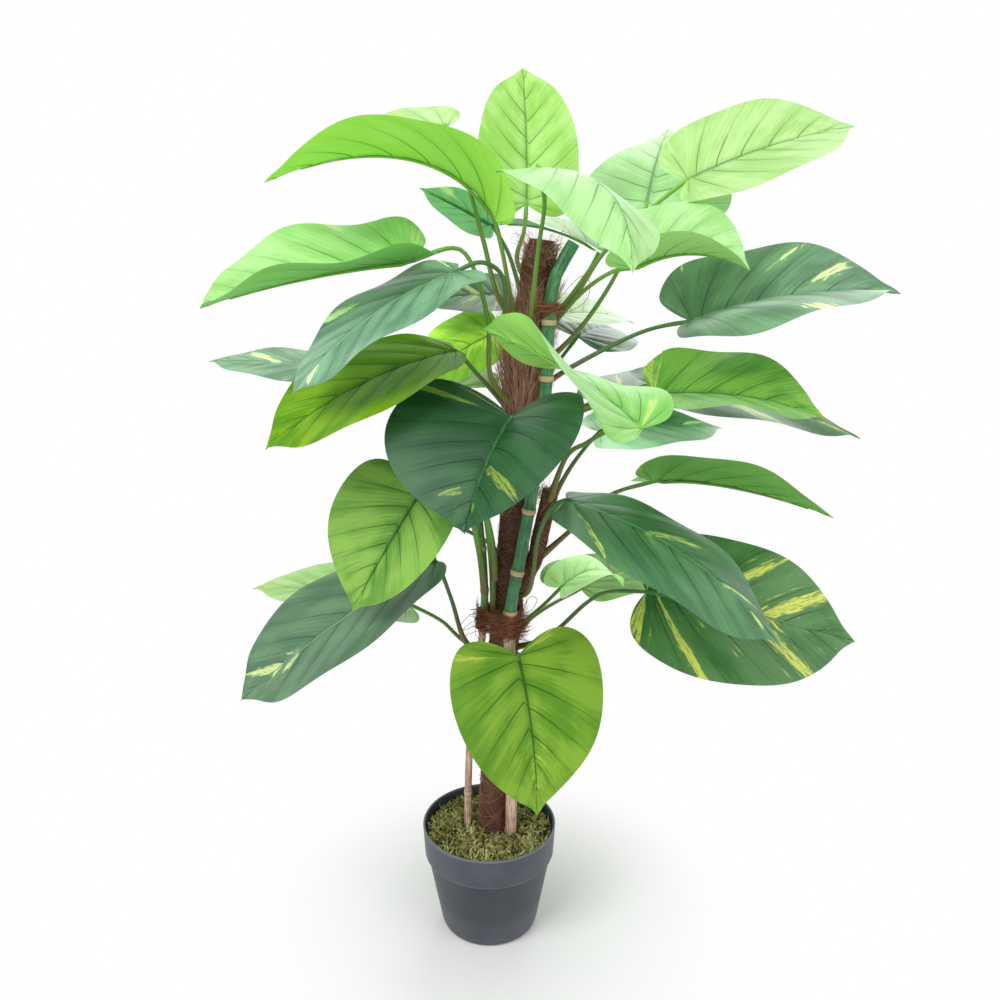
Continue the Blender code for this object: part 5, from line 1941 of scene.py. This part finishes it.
@dataclass(frozen=True)
class StudioFloor(Finish):
    """White floor: shadows near the pot, plain white further out and to the camera's far view."""

    clear_from: float = 0.09
    clear_to: float = 0.42

    def write(self, recipe: Recipe) -> bpy.types.Material:
        """Write the nodes: matt white, mixed with plain white light by the distance from the pot."""
        x, y, _ = recipe.parts(recipe.here())
        far = recipe.math("SQRT", x * x + y * y).rise(self.clear_from, self.clear_to)
        light = recipe.node("ShaderNodeLightPath")
        seen = recipe.term(light, "Is Camera Ray").most(recipe.term(light, "Is Glossy Ray"))
        seen = seen.most(recipe.term(light, "Is Transmission Ray"))
        glow = recipe.node("ShaderNodeEmission", None, {"Color": (1.0, 1.0, 1.0), "Strength": 1.0})
        mix = recipe.node("ShaderNodeMixShader", None, {0: far * seen})
        recipe.finish(srgb(252, 252, 252), 0.9, specular=0.0)
        output = recipe.tree.nodes["Material Output"]
        recipe.tree.links.new(recipe.shader.outputs[0], mix.inputs[1])
        recipe.tree.links.new(glow.outputs[0], mix.inputs[2])
        recipe.tree.links.new(mix.outputs[0], output.inputs["Surface"])
        return recipe.made


@dataclass(frozen=True)
class Studio:
    """A white floor, a white surrounding, three soft lamps and the camera.

    Attributes:
        camera_place: Where the camera stands.
        camera_tilt: How far it looks down, in degrees.
        lens: Its focal length, in millimetres.
        sensor: Its sensor's width, in millimetres.
        floor_size: The floor's side.
        ambient: How strongly the surrounding lights the plant.
        lamps: Each lamp's name, place, aim, side and power.
    """

    camera_place: Place = (0.016, -1.283, 1.057)
    camera_tilt: float = 17.0
    lens: float = 36.0
    sensor: float = 36.0
    floor_size: float = 40.0
    ambient: float = 0.50
    lamps: tuple[tuple[str, Place, Place, float, float], ...] = (
        ("key_lamp", (-1.3, -1.5, 2.6), (0, 0, 0.7), 1.6, 44),
        ("fill_lamp", (1.8, -1.2, 1.6), (0, 0, 0.6), 1.8, 12),
        ("back_lamp", (0.6, 2.2, 2.0), (0, 0, 0.7), 1.8, 22),
    )

    def floor(self) -> None:
        """The floor: a flat square just under the pot's foot."""
        half, level = self.floor_size / 2, -0.0002
        mesh = bpy.data.meshes.new("floor")
        corners = [(x * half, y * half, level) for x, y in ((-1, -1), (1, -1), (1, 1), (-1, 1))]
        mesh.from_pydata(corners, [], [(0, 1, 2, 3)])
        placed("floor", mesh, [StudioFloor()])

    def surrounding(self) -> None:
        """A world that lights at a plain level and looks white to the camera and in reflections."""
        world = bpy.data.worlds.new("studio")
        bpy.context.scene.world = world
        world.use_nodes = True
        tree = world.node_tree
        back = tree.nodes["Background"]
        path = tree.nodes.new("ShaderNodeLightPath")
        seen = path.outputs["Is Camera Ray"]
        for kind in ("Is Glossy Ray", "Is Transmission Ray"):
            most = tree.nodes.new("ShaderNodeMath")
            most.operation = "MAXIMUM"
            tree.links.new(seen, most.inputs[0])
            tree.links.new(path.outputs[kind], most.inputs[1])
            seen = most.outputs[0]
        level = tree.nodes.new("ShaderNodeMapRange")
        level.inputs["To Min"].default_value = self.ambient
        level.inputs["To Max"].default_value = 1.0
        tree.links.new(seen, level.inputs["Value"])
        tree.links.new(level.outputs[0], back.inputs["Strength"])
        back.inputs["Color"].default_value = (1, 1, 1, 1)

    def lamp(self, name: str, place: Place, aim: Place, size: float, power: float) -> None:
        """A square lamp at a place, turned to an aim."""
        light = bpy.data.lights.new(name, "AREA")
        light.shape = "SQUARE"
        light.size = size
        light.energy = power
        made = placed(name, light)
        made.location = place
        ahead = unit(np.array(aim) - np.array(place))
        made.rotation_euler = (math.acos(-ahead[2]), 0, math.atan2(ahead[0], -ahead[1]) + math.pi)

    def camera(self) -> None:
        """The camera: in front, a little higher than the pole, tilted down."""
        data = bpy.data.cameras.new("camera")
        data.lens = self.lens
        data.sensor_width = self.sensor
        made = placed("camera", data)
        made.location = self.camera_place
        made.rotation_euler = (math.radians(90 - self.camera_tilt), 0, 0)
        bpy.context.scene.camera = made

    def build(self) -> None:
        """Make the studio."""
        self.camera()
        self.floor()
        self.surrounding()
        for row in self.lamps:
            self.lamp(*row)
        bpy.context.scene.view_settings.view_transform = "Standard"


# -------------------- Plant --------------------

COIR_DARK = CoirFinish("coir_core", srgb(92, 58, 48), srgb(160, 112, 94))
COIR_FIBRE = CoirFinish("coir_fibre", srgb(122, 78, 62), srgb(214, 170, 142))
COIR_HUSK = CoirFinish("coir_husk", srgb(136, 88, 70), srgb(226, 178, 152))
COIR_TIE = CoirFinish("tie_raffia", srgb(96, 50, 38), srgb(186, 124, 94))
TIE_LOOPS = Tubes("tie_loops", "tie_fibre", COIR_TIE, 0.0004, (1, 1), 6, 40, 0.9, 0.0, (
    ((-6, -20, 505), (-22, -30, 512), (-36, -34, 500), (-41, -34, 488), (-26, -32, 492), (-4, -26, 498)),
    ((-4, -22, 497), (-20, -32, 502), (-33, -38, 494), (-36, -36, 482), (-20, -32, 486), (0, -30, 492)),
    ((82, -36, 925), (100, -40, 948), (116, -40, 962), (126, -36, 952), (122, -34, 932), (104, -34, 920),
     (86, -34, 918)),
    ((46, -30, 505), (60, -32, 520), (66, -30, 534), (56, -28, 536), (50, -30, 522), (48, -30, 508)),
))
OLD_STALKS = Tubes("old_stalks", "olive_leaf", StalkFinish(OLIVE), 0.0040, (1.25, 0.85), 12, 36, 0.0, 0.0, (
    ((7, -16, 500), (6, -18, 560), (1, -22, 620), (-6, -26, 672)),
    ((-5, -22, 540), (-10, -24, 590), (-19, -27, 640), (-26, -28, 672)),
    ((9, -25, 560), (6, -28, 610), (-1, -31, 650), (-6, -31, 682)),
))
AERIAL_ROOTS = Tubes("aerial_roots", "coir_branch", COIR_DARK, 0.0013, (1.3, 0.35), 8, 36, 0.15, 0.1, (
    ((64, -4, 815), (76, -8, 795), (80, -10, 770), (84, -12, 752)),
    ((60, -8, 790), (72, -12, 775), (70, -14, 758), (78, -14, 748)),
    ((62, 0, 775), (80, -4, 765), (92, -6, 757), (98, -8, 742)),
    ((60, -4, 765), (74, -10, 752), (88, -12, 748), (94, -10, 732)),
    ((60, -2, 758), (70, -10, 744), (80, -10, 740), (86, -12, 728)),
))
LOWER_TIE = Tie("lower_tie", 0.482, 0.514, ("pole", "front_cane", "left_cane"), 24, 0.0008, 31, 1400)
UPPER_TIE = Tie("upper_tie", 0.918, 0.928, ("pole", "front_cane"), 7, 0.0007, 37, 240)


def main() -> None:
    """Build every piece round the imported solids."""
    logging.basicConfig(level=logging.INFO, format="%(name)s %(message)s")
    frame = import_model()
    Studio().build()
    pot = Pot()
    pot.build()
    Moss(pot).build()
    for name, finish in (("potting_mix", MixFinish()), ("pole_core", StakeFinish())):
        worn = frame["nodes"][name].data.materials
        worn.clear()
        worn.append(finish.material())
    CoirPole().build()
    SideBranch().build()
    Canes().build()
    for made in (LOWER_TIE, UPPER_TIE, TIE_LOOPS, OLD_STALKS, AERIAL_ROOTS):
        made.build()
    for number, leaf in enumerate(LEAVES):
        LeafPiece(leaf, number).build()


if __name__ == "__main__":
    main()
